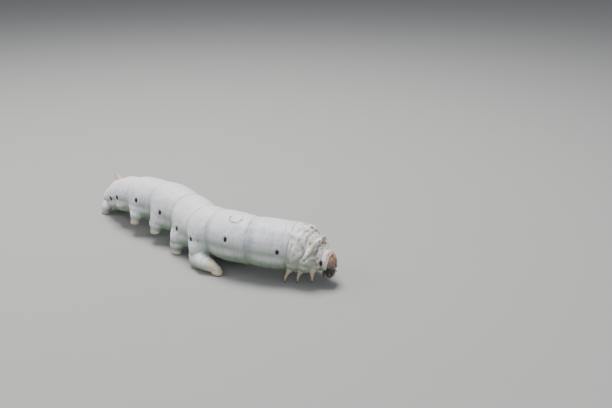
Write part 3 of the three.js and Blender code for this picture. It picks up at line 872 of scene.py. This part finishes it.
def stains(station, turn):
    """Ochre and olive patches of the thorax, thickest beside the middle of the back."""
    arc = np.interp(station, STATIONS, ARC)
    away = np.abs(turn)
    girth = np.radians(away) * GIRTH_RADIUS
    side = np.where(turn > 0, 51.0, 63.0)
    ragged = noise(arc / 1.3, girth / 1.2, side) + 0.4 * noise(arc / 0.5, girth / 0.5, side)
    patches = ease(ragged, 0.0, 0.6)
    top = bell(away - 22, 26) * ease(station, 3.0, 2.5)
    front = ease(station, 1.7, 0.9) * ease(away, 140, 60)
    low = 0.6 * bell(away - 112, 20) * ease(station, 3.2, 2.6)
    return np.clip(patches * (top + front + low) * ease(station, 0.1, 0.4), 0, 1)


def evened(context, points, faces, grain):
    """One closed mesh of small even faces in the place of closed parts that cross."""
    rough = bpy.data.meshes.new("rough")
    rough.from_pydata(points.tolist(), [], faces)
    shape = placed("rough", rough)
    remesh = shape.modifiers.new("Even", "REMESH")
    remesh.mode = "VOXEL"
    remesh.voxel_size = grain
    even = bpy.data.meshes.new_from_object(shape.evaluated_get(context.evaluated_depsgraph_get()))
    bpy.data.objects.remove(shape)
    bpy.data.meshes.remove(rough)
    even.name = "skin"
    return even


# How often the skin is evened out: all over, and then where the prolegs leave the body.
EVEN_TURNS = 3
ROOT_TURNS = 23

# How often it is averaged to find its fine creases, and then its wide grooves, and the depth in millimetres
# at which the painted shade of each shows in full.
CREASE_TURNS = 7
GROOVE_TURNS = 32
CREASE_DEPTH = 0.04
GROOVE_DEPTH = 0.13

# Shallow rings of an abdominal segment: share of its length and depth.
ANNULETS = ((0.22, 0.7), (0.45, 1.0), (0.66, 0.8), (0.86, 1.0))

# How far the folds of the thorax slant, and the shade before the folds of the body: fold and strength.
SLANT = 0.42
FOLD_SHADE = ((2, 0), (3, 0.5), (4, 1.0), (5, 0.9), (6, 0.5), (7, 0.4), (9, 0.25))


def crumple(station, arc, away, girth, wander, side):
    """The crumpled surface of the thorax, from about -1 to 1."""
    lengthways = arc + SLANT * girth
    crossways = girth - SLANT * arc
    coarse = 1 - np.abs(noise(lengthways / 1.7 + 0.7 * wander, crossways / 3.0, side + 1)) * 2.2
    middle = 1 - np.abs(noise(lengthways / 0.85 + 0.7 * wander, crossways / 1.5 + 3, side + 2)) * 2.2
    knobs = noise(arc / 0.85, girth / 0.8, side + 3)
    pits = noise(arc / 0.4, girth / 0.4, side + 4)
    calm = 1 - 0.55 * bell(station - 2.5, 0.5) * bell(away - 60, 35)
    return (coarse * 0.35 + middle * 0.3 + knobs * 0.25) * calm + pits * 0.06


def body_relief(sizes, station, turn, points):
    """Height of the folds, rings and wrinkles over the plain skin of the body."""
    on_hood = np.clip((points - HEAD_CENTRE) @ FACE + 1.1, 0, 3) * ease(station, 0.04, 0.0)
    arc = np.interp(station, STATIONS, ARC) - on_hood
    away = np.abs(turn)
    girth = np.radians(away) * GIRTH_RADIUS
    side = np.where(turn > 0, 3.0, 17.0)
    wander = noise(arc / 2.4, girth / 2.6, side)
    small = noise(arc / 0.9, girth / 1.1, side + 5)

    thorax = ease(station, 3.15, 2.6) * (0.45 + 0.55 * ease(station, 0.6, 1.3)) * ease(on_hood, 1.6, 1.2)
    at, angle = SPIRACLES[0]
    for pore_side in (1, -1):
        thorax = thorax * (1 - bell(skin_gap(points, at, angle * pore_side), 0.95))
    height = sizes.crumple / MM * crumple(station, arc, away, girth, wander, side) * thorax
    sway = np.where(turn > 0, 0.0, 0.35) + 0.25 * wander
    height += welts(arc + 0.2 * small, away, sway) * ease(station, 0, 0.2)
    ripple = 0.09 * np.cos(on_hood * 6.5 + 2.5 * wander)
    height += ripple * ease(on_hood, 0.6, 1.0) * ease(on_hood, 1.7, 1.2)

    abdomen = 1 - ease(station, 3.15, 2.8)
    share = station - np.floor(station)
    rings = sum(depth * bell(share - at - 0.03 * wander, 0.03) for at, depth in ANNULETS)
    height -= sizes.annulet / MM * rings * abdomen * ease(away, 165, 110) * (0.55 + 0.45 * small)
    fine = np.abs(noise(arc / 0.42 + 0.6 * wander, girth / 2.2, side + 7))
    finer = np.abs(noise(arc / 0.23 + 0.4 * small, girth / 1.1, side + 8))
    height += sizes.wrinkle / MM * ((0.3 - fine) + 0.6 * (0.3 - finer)) * abdomen
    pleats = np.abs(noise(arc / 1.7 + 0.8 * wander, girth / 0.62 + 0.35 * arc, side + 9))
    stretch = np.abs(noise(arc / 0.75 + wander, girth / 1.1, side + 10))
    flank = bell(away - 112, 26) * abdomen
    height += sizes.pleat / MM * ((0.3 - pleats) + 0.7 * (0.3 - stretch)) * flank

    depth = sizes.fold / MM * bell(np.abs(station - np.round(station)), 0.022) * (0.7 + 0.6 * small)
    height -= depth * ease(station, 2.4, 3.0) * ease(away, 175, 130)
    return height + lumps(points, 3.1) * 0.08


def limb_relief(points):
    """Height of the creases and lumps of the prolegs."""
    x, y, z = points.T
    creases = 0.35 - np.abs(noise(z / 0.6, x / 2.0, y / 2.0))
    return creases * 0.12 + noise(x / 0.9, y / 0.9, z / 0.9) * 0.06


def hollows(points, normals):
    """The skin with a shallow dish round each breathing pore."""
    for at, angle in SPIRACLES:
        for side in (1, -1):
            gap = skin_gap(points, at, angle * side)
            dish = -0.12 * bell(gap, 0.62) + 0.07 * bell(gap - 0.95, 0.3)
            points = points + normals * dish[:, None] * (gap < 2.5)[:, None]
    return points


def fold_shade(station):
    """Soft shade before each fold, strongest at the front of the abdomen."""
    strength = np.interp(np.round(station), *zip(*FOLD_SHADE))
    return np.clip(strength * bell(station - np.round(station) + 0.06, 0.075), 0, 1)


def soles(points, parts, limb):
    """Share of the horny soles of the prolegs and claspers."""
    pad = np.zeros(len(points))
    for line, _, _, lift in parts:
        foot = line[0](np.array(1.0))
        close = bell(np.hypot(points[:, 0] - foot[0], points[:, 1] - foot[1]), 1.9)
        pad = np.maximum(pad, close * ease(points[:, 2] - lift, 0.75, 0.1) * limb)
    return np.clip(pad, 0, 1)


class SILKWORM_OT_skin(bpy.types.Operator):
    """One continuous skin over the body, the prolegs and the claspers"""

    bl_idname = "silkworm.skin"
    bl_label = "Skin"

    def execute(self, context):
        sizes, looks = settings(context)
        parts = limb_parts()
        limbs = [tube(line, ahead, profile, 40, 44, DOWN) for line, ahead, profile, _ in parts]
        points, faces = joined([plain_body()] + limbs)
        even = evened(context, points, faces, sizes.skin_grain / MM)

        points, _ = places(even)
        ends, count = neighbours(even)
        share, near = limb_shares(points, parts)
        root = (0.75 * bell(share - 0.42, 0.2) * ease(near, 2.0, 1.35))[:, None]
        for _ in range(EVEN_TURNS):
            points = points + (averaged(points, ends, count) - points) * 0.5
        for _ in range(ROOT_TURNS):
            points = points + (averaged(points, ends, count) - points) * root
        even.vertices.foreach_set("co", points.ravel())
        even.update()

        points, normals = places(even)
        station, turn = body_coordinates(points)
        limb = ease(share, 0.45, 0.7) * ease(near, 1.35, 1.15)
        height = body_relief(sizes, station, turn, points) * (1 - limb) + limb_relief(points) * limb
        points = hollows(points + normals * height[:, None], normals)
        points[:, 2] = np.maximum(points[:, 2], 0.0)

        # How deep each point lies below its averaged neighbours; the finish paints shade by this in the
        # creases and grooves.
        smooth = points
        for _ in range(CREASE_TURNS):
            smooth = averaged(smooth, ends, count)
        crease_shade = ((smooth - points) * normals).sum(axis=1)
        for _ in range(GROOVE_TURNS):
            smooth = averaged(smooth, ends, count)
        groove = ((smooth - points) * normals).sum(axis=1)
        even.vertices.foreach_set("co", (points * MM).ravel())
        even.update()

        away = np.abs(turn)
        front = (points - HEAD_CENTRE) @ FACE
        # Painted shade of the belly: strongest where the skin faces down, away from the back.
        low = ease(-normals[:, 2], -0.45, 0.5) * ease(away, 45, 95)
        on_leg = ease(share, 0.12, 0.3) * ease(near, 1.7, 1.35)
        values = {
            "crease_shade": np.clip(crease_shade / CREASE_DEPTH, 0, 1),
            "groove": np.clip(groove / GROOVE_DEPTH, 0, 1),
            "thorax": ease(station, 3.15, 2.7),
            "belly": low * (1 - 0.5 * limb),
            "limb": limb,
            "sole": soles(points, parts, limb),
            "pink": ease(front, -1.4, 0.3) * ease(station, 0.3, 0.0) * (0.2 + 0.8 * ease(away, 80, 30)),
            "shadow": fold_shade(station) * ease(away, -20, 60) * (1 - on_leg),
            "mark": marking(station, turn) * (1 - limb),
            "stain": stains(station, turn),
        }
        nodes = [row[0] for row in SEGMENTS]
        nodes += [f"proleg_{k}_{label}" for k in (3, 4, 5, 6) for label, _ in SIDES]
        nodes += [f"clasper_{label}" for label, _ in SIDES]
        finished_piece("skin", even, skin_finish(looks), nodes, values)
        return {"FINISHED"}


def skin_spot(at, angle):
    """A place on the finished skin and its outward direction, in millimetres."""
    points, normals = places(bpy.data.objects["skin"].data)
    points = points / MM
    gap = skin_gap(points, at, angle)
    close = gap < max(0.35, gap.min() + 0.15)
    return points[close].mean(axis=0), unit(normals[close].mean(axis=0))


class SILKWORM_OT_pores(bpy.types.Operator):
    """The black breathing pores, each a raised oval rim round a sunken sieve"""

    bl_idname = "silkworm.pores"
    bl_label = "Breathing pores"

    def execute(self, context):
        sizes, looks = settings(context)
        tall, long = sizes.pore_tall / MM, sizes.pore_long / MM
        parts = []
        for at, angle in SPIRACLES:
            for side in (1, -1):
                centre, out = skin_spot(at, angle * side)
                _, forward, _, _ = section(max(at, 0.0))
                size = 0.9 if at > 10 else 1.0
                rings = [
                    ring(centre + out * depth, out, forward, long * scale * size, tall * scale * size, 36)
                    for depth, scale in PORE_PROFILE
                ]
                parts.append(loft(rings))
        points, faces = joined(parts)
        dark = gloss_finish("silkworm_pore", looks.pore, (0.02, 0.014, 0.01), 0.5, 0.1)
        mesh_piece("breathing_pores", points, faces, dark)
        return {"FINISHED"}


# The head

HEAD_TURN = math.radians(HEAD["heading"])
HEAD_FRONT = np.array((math.cos(HEAD_TURN), math.sin(HEAD_TURN), 0.0))
HEAD_SIDE = np.array((math.sin(HEAD_TURN), -math.cos(HEAD_TURN), 0.0))
FACE = HEAD_FRONT * math.cos(math.radians(HEAD["pitch"])) + DOWN * math.sin(math.radians(HEAD["pitch"]))
CROWN = unit(np.cross(HEAD_SIDE, FACE))
HEAD_CENTRE = FOLDS[0] + HEAD_FRONT * HEAD["ahead"]
HEAD_CENTRE[2] = HEAD["z"]


def head_point(side, front, up):
    """A point in the head's own directions."""
    side, front, up = (np.asarray(v, float)[..., None] for v in (side, front, up))
    return HEAD_CENTRE + HEAD_SIDE * side + FACE * front + CROWN * up


def head_direction(side, front, up):
    """A direction in the head's own frame."""
    return unit(HEAD_SIDE * side + FACE * front + CROWN * up)


def capsule_point(latitude, longitude, relief=0.0):
    """The head capsule: two lobes, narrower to the mouth, parted by a groove."""
    up, level = np.sin(latitude), np.cos(latitude)
    narrow = 1 - 0.2 * ease(-up, 0.3, 1.0)
    side, front = level * np.sin(longitude), level * np.cos(longitude)
    groove = 0.16 * bell(side * HEAD["wide"], 0.26) * ease(up, -0.35, 0.45) * np.where(front > -0.3, 1, 0.2)
    lobes = 1 + 0.05 * bell(np.abs(side) - 0.5, 0.3) - groove
    deep = HEAD["deep"] * lobes * (1 - 0.14 * ease(-up, 0, 1))
    return head_point(
        side * (HEAD["wide"] * lobes * narrow + relief),
        front * (deep + relief),
        up * (HEAD["tall"] * lobes * (1 - 0.13 * ease(up, 0, 1)) + relief),
    )


def eye_frame(side):
    """Centre and outward, across and rising directions of one eye patch."""
    out = unit(HEAD_SIDE * side * 0.8 + FACE * 0.6)
    centre = head_point(1.5 * side, 0.82, -0.95)
    across = unit(np.cross(out, CROWN))
    return centre, out, across, unit(np.cross(across, out))


def eyelet_places(side):
    """Centres of the six small eyes of one side."""
    centre, out, across, rise = eye_frame(side)
    angles = [math.radians(-60 + 52 * k) for k in range(6)]
    centre = centre + out * 0.26
    return [centre + across * math.cos(a) * 0.34 + rise * math.sin(a) * 0.4 for a in angles]


class SILKWORM_OT_head(bpy.types.Operator):
    """The hard head capsule with its seams, cheeks and shallow pits"""

    bl_idname = "silkworm.head"
    bl_label = "Head"

    def execute(self, context):
        _, looks = settings(context)
        latitude = np.linspace(math.pi / 2 - 0.01, -math.pi / 2 + 0.01, 190)[:, None]
        longitude = np.linspace(0, 2 * math.pi, 240, endpoint=False)[None, :]
        up, level = np.sin(latitude), np.cos(latitude)
        side, front = level * np.sin(longitude), level * np.cos(longitude)
        facing = ease(front, 0.05, 0.4)
        frons = np.abs(side) - 0.34 * ease(up, 0.25, -0.75)
        seam = bell(frons, 0.03) * ease(up, 0.25, 0.12) * facing
        clypeus = bell(up + 0.72, 0.035) * ease(np.abs(side), 0.5, 0.4) * facing
        pits = noise(side * 9, front * 9, up * 9)
        fine = noise(side * 26, front * 26, up * 26)
        relief = -0.08 * seam - 0.07 * clypeus + 0.025 * pits + 0.01 * fine
        for cheek in (1, -1):
            relief = relief + 0.07 * bell(np.hypot(side - 0.62 * cheek, up + 0.35), 0.3) * facing
        points, faces = loft(capsule_point(latitude, longitude, relief))
        low = ease(up + 0.16 * pits, 0.2, -0.28) + 0.3 * ease(up, 0.9, 0.0)
        low = np.maximum(low, 0.75 * seam) + 0.4 * ease(fine, 0.2, 0.7)
        low = np.maximum(low, 0.5 * bell(side, 0.05) * ease(up, 0.1, 0.4))
        for patch in (1, -1):
            low = np.maximum(low, bell(np.hypot(side - 0.72 * patch, (up + 0.42) * 1.1), 0.28) * facing)
        dark = np.concatenate((np.clip(low, 0, 1).ravel(), (0.0, 1.0)))
        mesh_piece("head_capsule", points, faces, head_finish(looks), ("head",), {"dark": dark})
        return {"FINISHED"}


class SILKWORM_OT_eyes(bpy.types.Operator):
    """Six small eyes on a dark patch at each side of the head"""

    bl_idname = "silkworm.eyes"
    bl_label = "Eyes"

    def execute(self, context):
        sizes, looks = settings(context)
        finish = gloss_finish("silkworm_eye", looks.eye, (0.04, 0.02, 0.012), 0.08)
        radius = sizes.eyelet / MM
        for label, side in SIDES:
            centre, out, _, _ = eye_frame(side)
            parts = [bud(centre, out, CROWN, 0.36, 0.5, 0.62, 40, 22)]
            for place in eyelet_places(side):
                parts.append(bud(place, out, CROWN, radius, radius, radius, 24, 16))
            points, faces = joined(parts)
            mesh_piece(f"eyes_{label}", points, faces, finish, (f"eye_{label}",))
        return {"FINISHED"}


class SILKWORM_OT_mouth(bpy.types.Operator):
    """Upper lip, toothed jaws, palps, and the lower lip with its spinneret"""

    bl_idname = "silkworm.mouth"
    bl_label = "Mouth parts"

    def execute(self, context):
        _, looks = settings(context)
        dark = gloss_finish("silkworm_jaw", looks.jaw, (0.07, 0.032, 0.02), 0.14)
        soft = leg_finish("silkworm_lip", looks.lip, looks.lip_tip, 0.1)
        down = -CROWN
        centre = head_point(0, 1.36, -1.86)
        points, faces = bud(centre, down, FACE, 0.85, 0.95, 0.38, 48, 30)
        local = (points - centre) @ np.stack((HEAD_SIDE, FACE, CROWN)).T
        notch = bell(local[:, 0], 0.16) * ease(local[:, 2], -0.2, -0.7)
        points = points + CROWN * (0.3 * notch)[:, None]
        mesh_piece("lip_upper", points, faces, dark, ("upper_lip",))
        for label, side in SIDES:
            centre = head_point(0.66 * side, 0.85, -2.2)
            points, faces = bud(centre, down, FACE, 0.86, 0.6, 0.6, 48, 34)
            local = (points - centre) @ np.stack((HEAD_SIDE * side, FACE, CROWN)).T
            tip = ease(local[:, 2], -0.25, -0.72)
            teeth = 0.07 * np.cos(local[:, 1] * 21) * tip
            points = points - HEAD_SIDE * side * (0.3 * tip)[:, None] + CROWN * teeth[:, None]
            mesh_piece(f"jaws_{label}", points, faces, dark, (f"jaw_{label}",))

            centre = head_point(1.15 * side, -0.2, -2.2)
            line = bezier(centre + CROWN * 0.75, down, centre - CROWN * 0.6, down)
            profile = round_profile(
                (0, 0.36), (0.45, 0.34), (0.47, 0.26), (0.66, 0.25), (0.68, 0.18), (0.85, 0.17), (0.87, 0.11),
                (1, 0.07),
            )
            points, faces = tube(line, FACE, profile, 24, 40)
            values = {"dark": ease((points - centre) @ CROWN, 0.3, -0.6) * 0.7}
            mesh_piece(f"palps_{label}", points, faces, soft, (f"palp_{label}",), values)
        lip = bud(head_point(0, -0.35, -2.3), down, FACE, 0.55, 0.75, 0.42, 40, 24)
        spinneret = bud(head_point(0, 0.0, -2.72), down, FACE, 0.42, 0.2, 0.2, 28, 20)
        points, faces = joined((lip, spinneret))
        values = {"dark": ease((points - HEAD_CENTRE) @ CROWN, -2.3, -3.0) * 0.8}
        mesh_piece("lip_lower", points, faces, soft, ("lower_lip",), values)
        return {"FINISHED"}


class SILKWORM_OT_feelers(bpy.types.Operator):
    """Two short feelers of three joints beside the jaws"""

    bl_idname = "silkworm.feelers"
    bl_label = "Feelers"

    def execute(self, context):
        _, looks = settings(context)
        soft = leg_finish("silkworm_feeler", looks.feeler, looks.feeler_tip, 0.1)
        for label, side in SIDES:
            root = head_point(1.2 * side, 0.95, -1.7)
            out = head_direction(0.45 * side, 0.6, -0.7)
            line = bezier(root - out * 0.1, out, root + out * 0.9, out)
            profile = round_profile(
                (0, 0.3), (0.3, 0.28), (0.42, 0.24), (0.45, 0.18), (0.72, 0.17), (0.76, 0.13), (0.92, 0.1),
                (1, 0.04),
            )
            points, faces = tube(line, CROWN, profile, 26, 46)
            values = {"dark": ease((points - root) @ out, 0.5, 1.3) * 0.8}
            mesh_piece(f"feelers_{label}", points, faces, soft, (f"antenna_{label}",), values)
        return {"FINISHED"}


# Legs, horn and hairs


class SILKWORM_OT_legs(bpy.types.Operator):
    """The six jointed walking legs, each with a small dark claw"""

    bl_idname = "silkworm.legs"
    bl_label = "Walking legs"

    def execute(self, context):
        sizes, looks = settings(context)
        skin = leg_finish("silkworm_leg", looks.leg, looks.leg_tip, 0.3)
        hip, claw = sizes.leg_hip / MM, sizes.claw / MM
        dark = gloss_finish("silkworm_claw", looks.jaw, (0.14, 0.06, 0.03), 0.2)
        claws = []
        for number, (station, hip_place, foot_place) in enumerate(LEGS, 1):
            centre, forward, right, _ = section(station)
            ahead = unit(forward * (1, 1, 0))
            for label, side in SIDES:
                root, foot = (
                    np.array((NECK_FOLD[0] - behind, centre[1], height)) + right * apart * side
                    for behind, apart, height in (hip_place, foot_place)
                )
                out = unit(right * 0.25 * side + DOWN)
                ankle = foot + UP * claw * 0.7
                line = bezier(root - out * 0.3, out, ankle, DOWN)
                claws.append(self.claw(ankle, -ahead, claw))
                profile = [(share, hip * long, hip * wide) for share, long, wide in LEG_PROFILE]
                points, faces = tube(line, ahead, profile, 36, 90, DOWN)
                points = points + unit(points - foot) * (0.02 * lumps(points, 0.3))[:, None]
                rise = points[:, 2] - foot[2]
                values = {"dark": ease(rise, 1.2, 0.3) * 0.45 + 0.25 * ease(rise, 3.6, 1.0)}
                name = f"leg_{number}_{label}"
                mesh_piece(f"walking_{name}", points, faces, skin, (name,), values)
        points, faces = joined(claws)
        mesh_piece("claws", points, faces, dark)
        return {"FINISHED"}

    def claw(self, root, bend, size):
        """A small hooked claw that ends at the level of the foot."""
        tip = root - UP * size * 0.66 + bend * size * 0.5
        line = bezier(root + UP * size * 0.3, DOWN, tip, unit(DOWN * 0.3 + bend))
        profile = (
            (0, 0.17, 0.15), (0.3, 0.16, 0.13), (0.6, 0.1, 0.09), (0.85, 0.05, 0.05), (1.0, 0.015, 0.015),
        )
        points, faces = tube(line, bend, profile, 16, 24)
        points[:, 2] = np.maximum(points[:, 2], root[2] - size * 0.7)
        return points, faces


class SILKWORM_OT_horn(bpy.types.Operator):
    """The small tail horn, ringed and granular, leaning back"""

    bl_idname = "silkworm.horn"
    bl_label = "Horn"

    def execute(self, context):
        sizes, looks = settings(context)
        _, forward, _, _ = section(10.5)
        skin = skin_point(10.5, 0)
        out = skin_normal(10.5, 0)
        tip = skin + out * sizes.horn / MM - forward * 1.5
        end = unit(tip - skin)
        line = bezier(skin - out * 0.8, out, tip, end)
        profile = (
            (0, 1.25, 1.15), (0.25, 1.1, 1.0), (0.4, 0.85, 0.8), (0.6, 0.6, 0.58), (0.8, 0.42, 0.41),
            (0.92, 0.31, 0.31), (0.97, 0.22, 0.22), (1.0, 0.1, 0.1),
        )
        points, faces = tube(line, forward, profile, 44, 70)
        along = (points - skin) @ end
        rings = 0.03 * np.cos(along * 14 + lumps(points, 0.5))
        grain = 0.035 * lumps(points, 0.16)
        spine_line = skin + end * along[:, None]
        points = points + unit(points - spine_line) * (rings + grain)[:, None]
        values = {"dark": np.clip(ease(along, 0.6, 2.1) * 0.5 + 0.25 * lumps(points, 0.4), 0, 1)}
        material = leg_finish("silkworm_horn", looks.horn, looks.horn_tip, 0.25)
        mesh_piece("tail_horn", points, faces, material, ("horn",), values)
        return {"FINISHED"}


# Fine hairs: the number of places that are tried on the skin, the number on the head, and the seed.
SKIN_HAIRS = 900
HEAD_HAIRS = 70
HAIR_SEED = 7


class SILKWORM_OT_hairs(bpy.types.Operator):
    """Sparse fine hairs on the head, the thorax and the flanks"""

    bl_idname = "silkworm.hairs"
    bl_label = "Fine hairs"

    def execute(self, context):
        sizes, looks = settings(context)
        reach = sizes.hair / MM
        profile = round_profile((0, 0.012), (0.6, 0.009), (1, 0.003))
        random = np.random.default_rng(HAIR_SEED)
        parts = []
        points, normals = places(bpy.data.objects["skin"].data)
        points = points / MM
        picked = random.choice(len(points), SKIN_HAIRS, replace=False)
        roots = [(points[k], normals[k], 0.55) for k in picked if points[k][2] > 1.2 and normals[k][2] < 0.75]
        for _ in range(HEAD_HAIRS):
            latitude, longitude = random.uniform(-1.1, 1.2), random.uniform(-1.4, 1.4)
            place = capsule_point(np.array(latitude), np.array(longitude))
            roots.append((place, unit(place - HEAD_CENTRE), 0.9))
        for place, out, scale in roots:
            lean = unit(out + random.normal(0, 0.25, 3) + DOWN * 0.15)
            tip = place + lean * reach * scale * random.uniform(0.6, 1.1)
            tip[2] = max(tip[2], 0.05)
            line = bezier(place - out * 0.05, out, tip, unit(lean + DOWN * 0.4))
            parts.append(tube(line, FACE + out * 0.01, profile, 5, 5))
        points, faces = joined(parts)
        finish = leg_finish("silkworm_hair", looks.hair, (0.4, 0.3, 0.2), 0.0)
        mesh_piece("fine_hairs", points, faces, finish, (), {"dark": np.zeros(len(points))})
        return {"FINISHED"}


# The stage

# Soft square lamps in metres and watts: name, place, size, power and colour. All shine at one point.
LAMPS = (
    ("key", (-0.06, 0.05, 0.34), 0.15, 2.0, (1.0, 0.985, 0.96)),
    ("fill", (0.24, -0.26, 0.18), 0.20, 0.3, (0.93, 0.97, 1.0)),
    ("rim", (-0.25, -0.12, 0.22), 0.18, 0.3, (1.0, 0.99, 0.97)),
)
LAMP_AIM = (0.005, 0.0, 0.006)
SKY_COLOUR = (0.88, 0.92, 1.0)
SKY_STRENGTH = 0.34
FLOOR_REACH = 3


def add_lamp(name, place, size, watts, shade):
    """A soft square lamp that shines at the larva."""
    lamp = bpy.data.lights.new(name, "AREA")
    lamp.size = size
    lamp.energy = watts
    lamp.color = shade
    stand = placed(name, lamp)
    stand.location = place
    back = unit(np.array(place) - np.array(LAMP_AIM))
    stand.rotation_euler = (math.acos(back[2]), 0, math.atan2(back[1], back[0]) + math.pi / 2)


class SILKWORM_OT_stage(bpy.types.Operator):
    """The pale floor, the soft lights and the camera"""

    bl_idname = "silkworm.stage"
    bl_label = "Stage"

    def execute(self, context):
        scene, looks = context.scene, context.scene.silkworm_looks
        mesh = bpy.data.meshes.new("floor")
        corners = [(x * FLOOR_REACH, y * FLOOR_REACH, 0) for x, y in ((-1, -1), (1, -1), (1, 1), (-1, 1))]
        mesh.from_pydata(corners, [], [(0, 1, 2, 3)])
        floor = placed("floor", mesh)
        ground = Finish("floor")
        cloudy = ground.noise(0.05, 2.0)
        low = [0.97 * share for share in looks.floor]
        shade = ground.blend(cloudy, colour(looks.floor), colour(low))
        mesh.materials.append(ground.wear(Base_Color=shade, Roughness=0.75 + cloudy * 0.1))

        world = bpy.data.worlds.new("studio")
        world.use_nodes = True
        sky = world.node_tree.nodes["Background"]
        sky.inputs["Color"].default_value = colour(SKY_COLOUR)
        sky.inputs["Strength"].default_value = SKY_STRENGTH
        scene.world = world
        for lamp in LAMPS:
            add_lamp(*lamp)

        view = bpy.data.cameras.new("camera")
        view.lens = CAMERA_LENS
        view.sensor_width = 36.0
        view.clip_start = 0.01
        camera = placed("camera", view)
        turn, rise = math.radians(CAMERA_AZIMUTH), math.radians(CAMERA_ELEVATION)
        back = (math.sin(turn) * math.cos(rise), -math.cos(turn) * math.cos(rise), math.sin(rise))
        camera.location = [(p + CAMERA_DISTANCE * b) * MM for p, b in zip(LOOK_POINT, back)]
        camera.rotation_euler = (math.pi / 2 - rise, 0, turn)
        scene.camera = camera
        return {"FINISHED"}


class SILKWORM_PT_panel(bpy.types.Panel):
    """Lists the pieces of the silkworm"""

    bl_idname = "SILKWORM_PT_panel"
    bl_label = "Silkworm"
    bl_space_type = "VIEW_3D"
    bl_region_type = "UI"
    bl_category = "Silkworm"

    def draw(self, context):
        for operator in OPERATORS:
            self.layout.operator(operator.bl_idname)
        for group in settings(context):
            for name in group.__annotations__:
                self.layout.prop(group, name)


OPERATORS = (
    SILKWORM_OT_skin,
    SILKWORM_OT_pores,
    SILKWORM_OT_head,
    SILKWORM_OT_eyes,
    SILKWORM_OT_mouth,
    SILKWORM_OT_feelers,
    SILKWORM_OT_legs,
    SILKWORM_OT_horn,
    SILKWORM_OT_hairs,
    SILKWORM_OT_stage,
)
CLASSES = (SilkwormSizes, SilkwormLooks, *OPERATORS, SILKWORM_PT_panel)


def register():
    """Registers the classes and puts the settings on the scene."""
    for one in CLASSES:
        bpy.utils.register_class(one)
    bpy.types.Scene.silkworm_sizes = bpy.props.PointerProperty(type=SilkwormSizes)
    bpy.types.Scene.silkworm_looks = bpy.props.PointerProperty(type=SilkwormLooks)


def unregister():
    """Takes the settings and classes away."""
    del bpy.types.Scene.silkworm_looks
    del bpy.types.Scene.silkworm_sizes
    for one in reversed(CLASSES):
        bpy.utils.unregister_class(one)


def main():
    """Builds every piece in order."""
    register()
    bpy.ops.silkworm.skin()
    bpy.ops.silkworm.pores()
    bpy.ops.silkworm.head()
    bpy.ops.silkworm.eyes()
    bpy.ops.silkworm.mouth()
    bpy.ops.silkworm.feelers()
    bpy.ops.silkworm.legs()
    bpy.ops.silkworm.horn()
    bpy.ops.silkworm.hairs()
    bpy.ops.silkworm.stage()


if __name__ == "__main__":
    main()
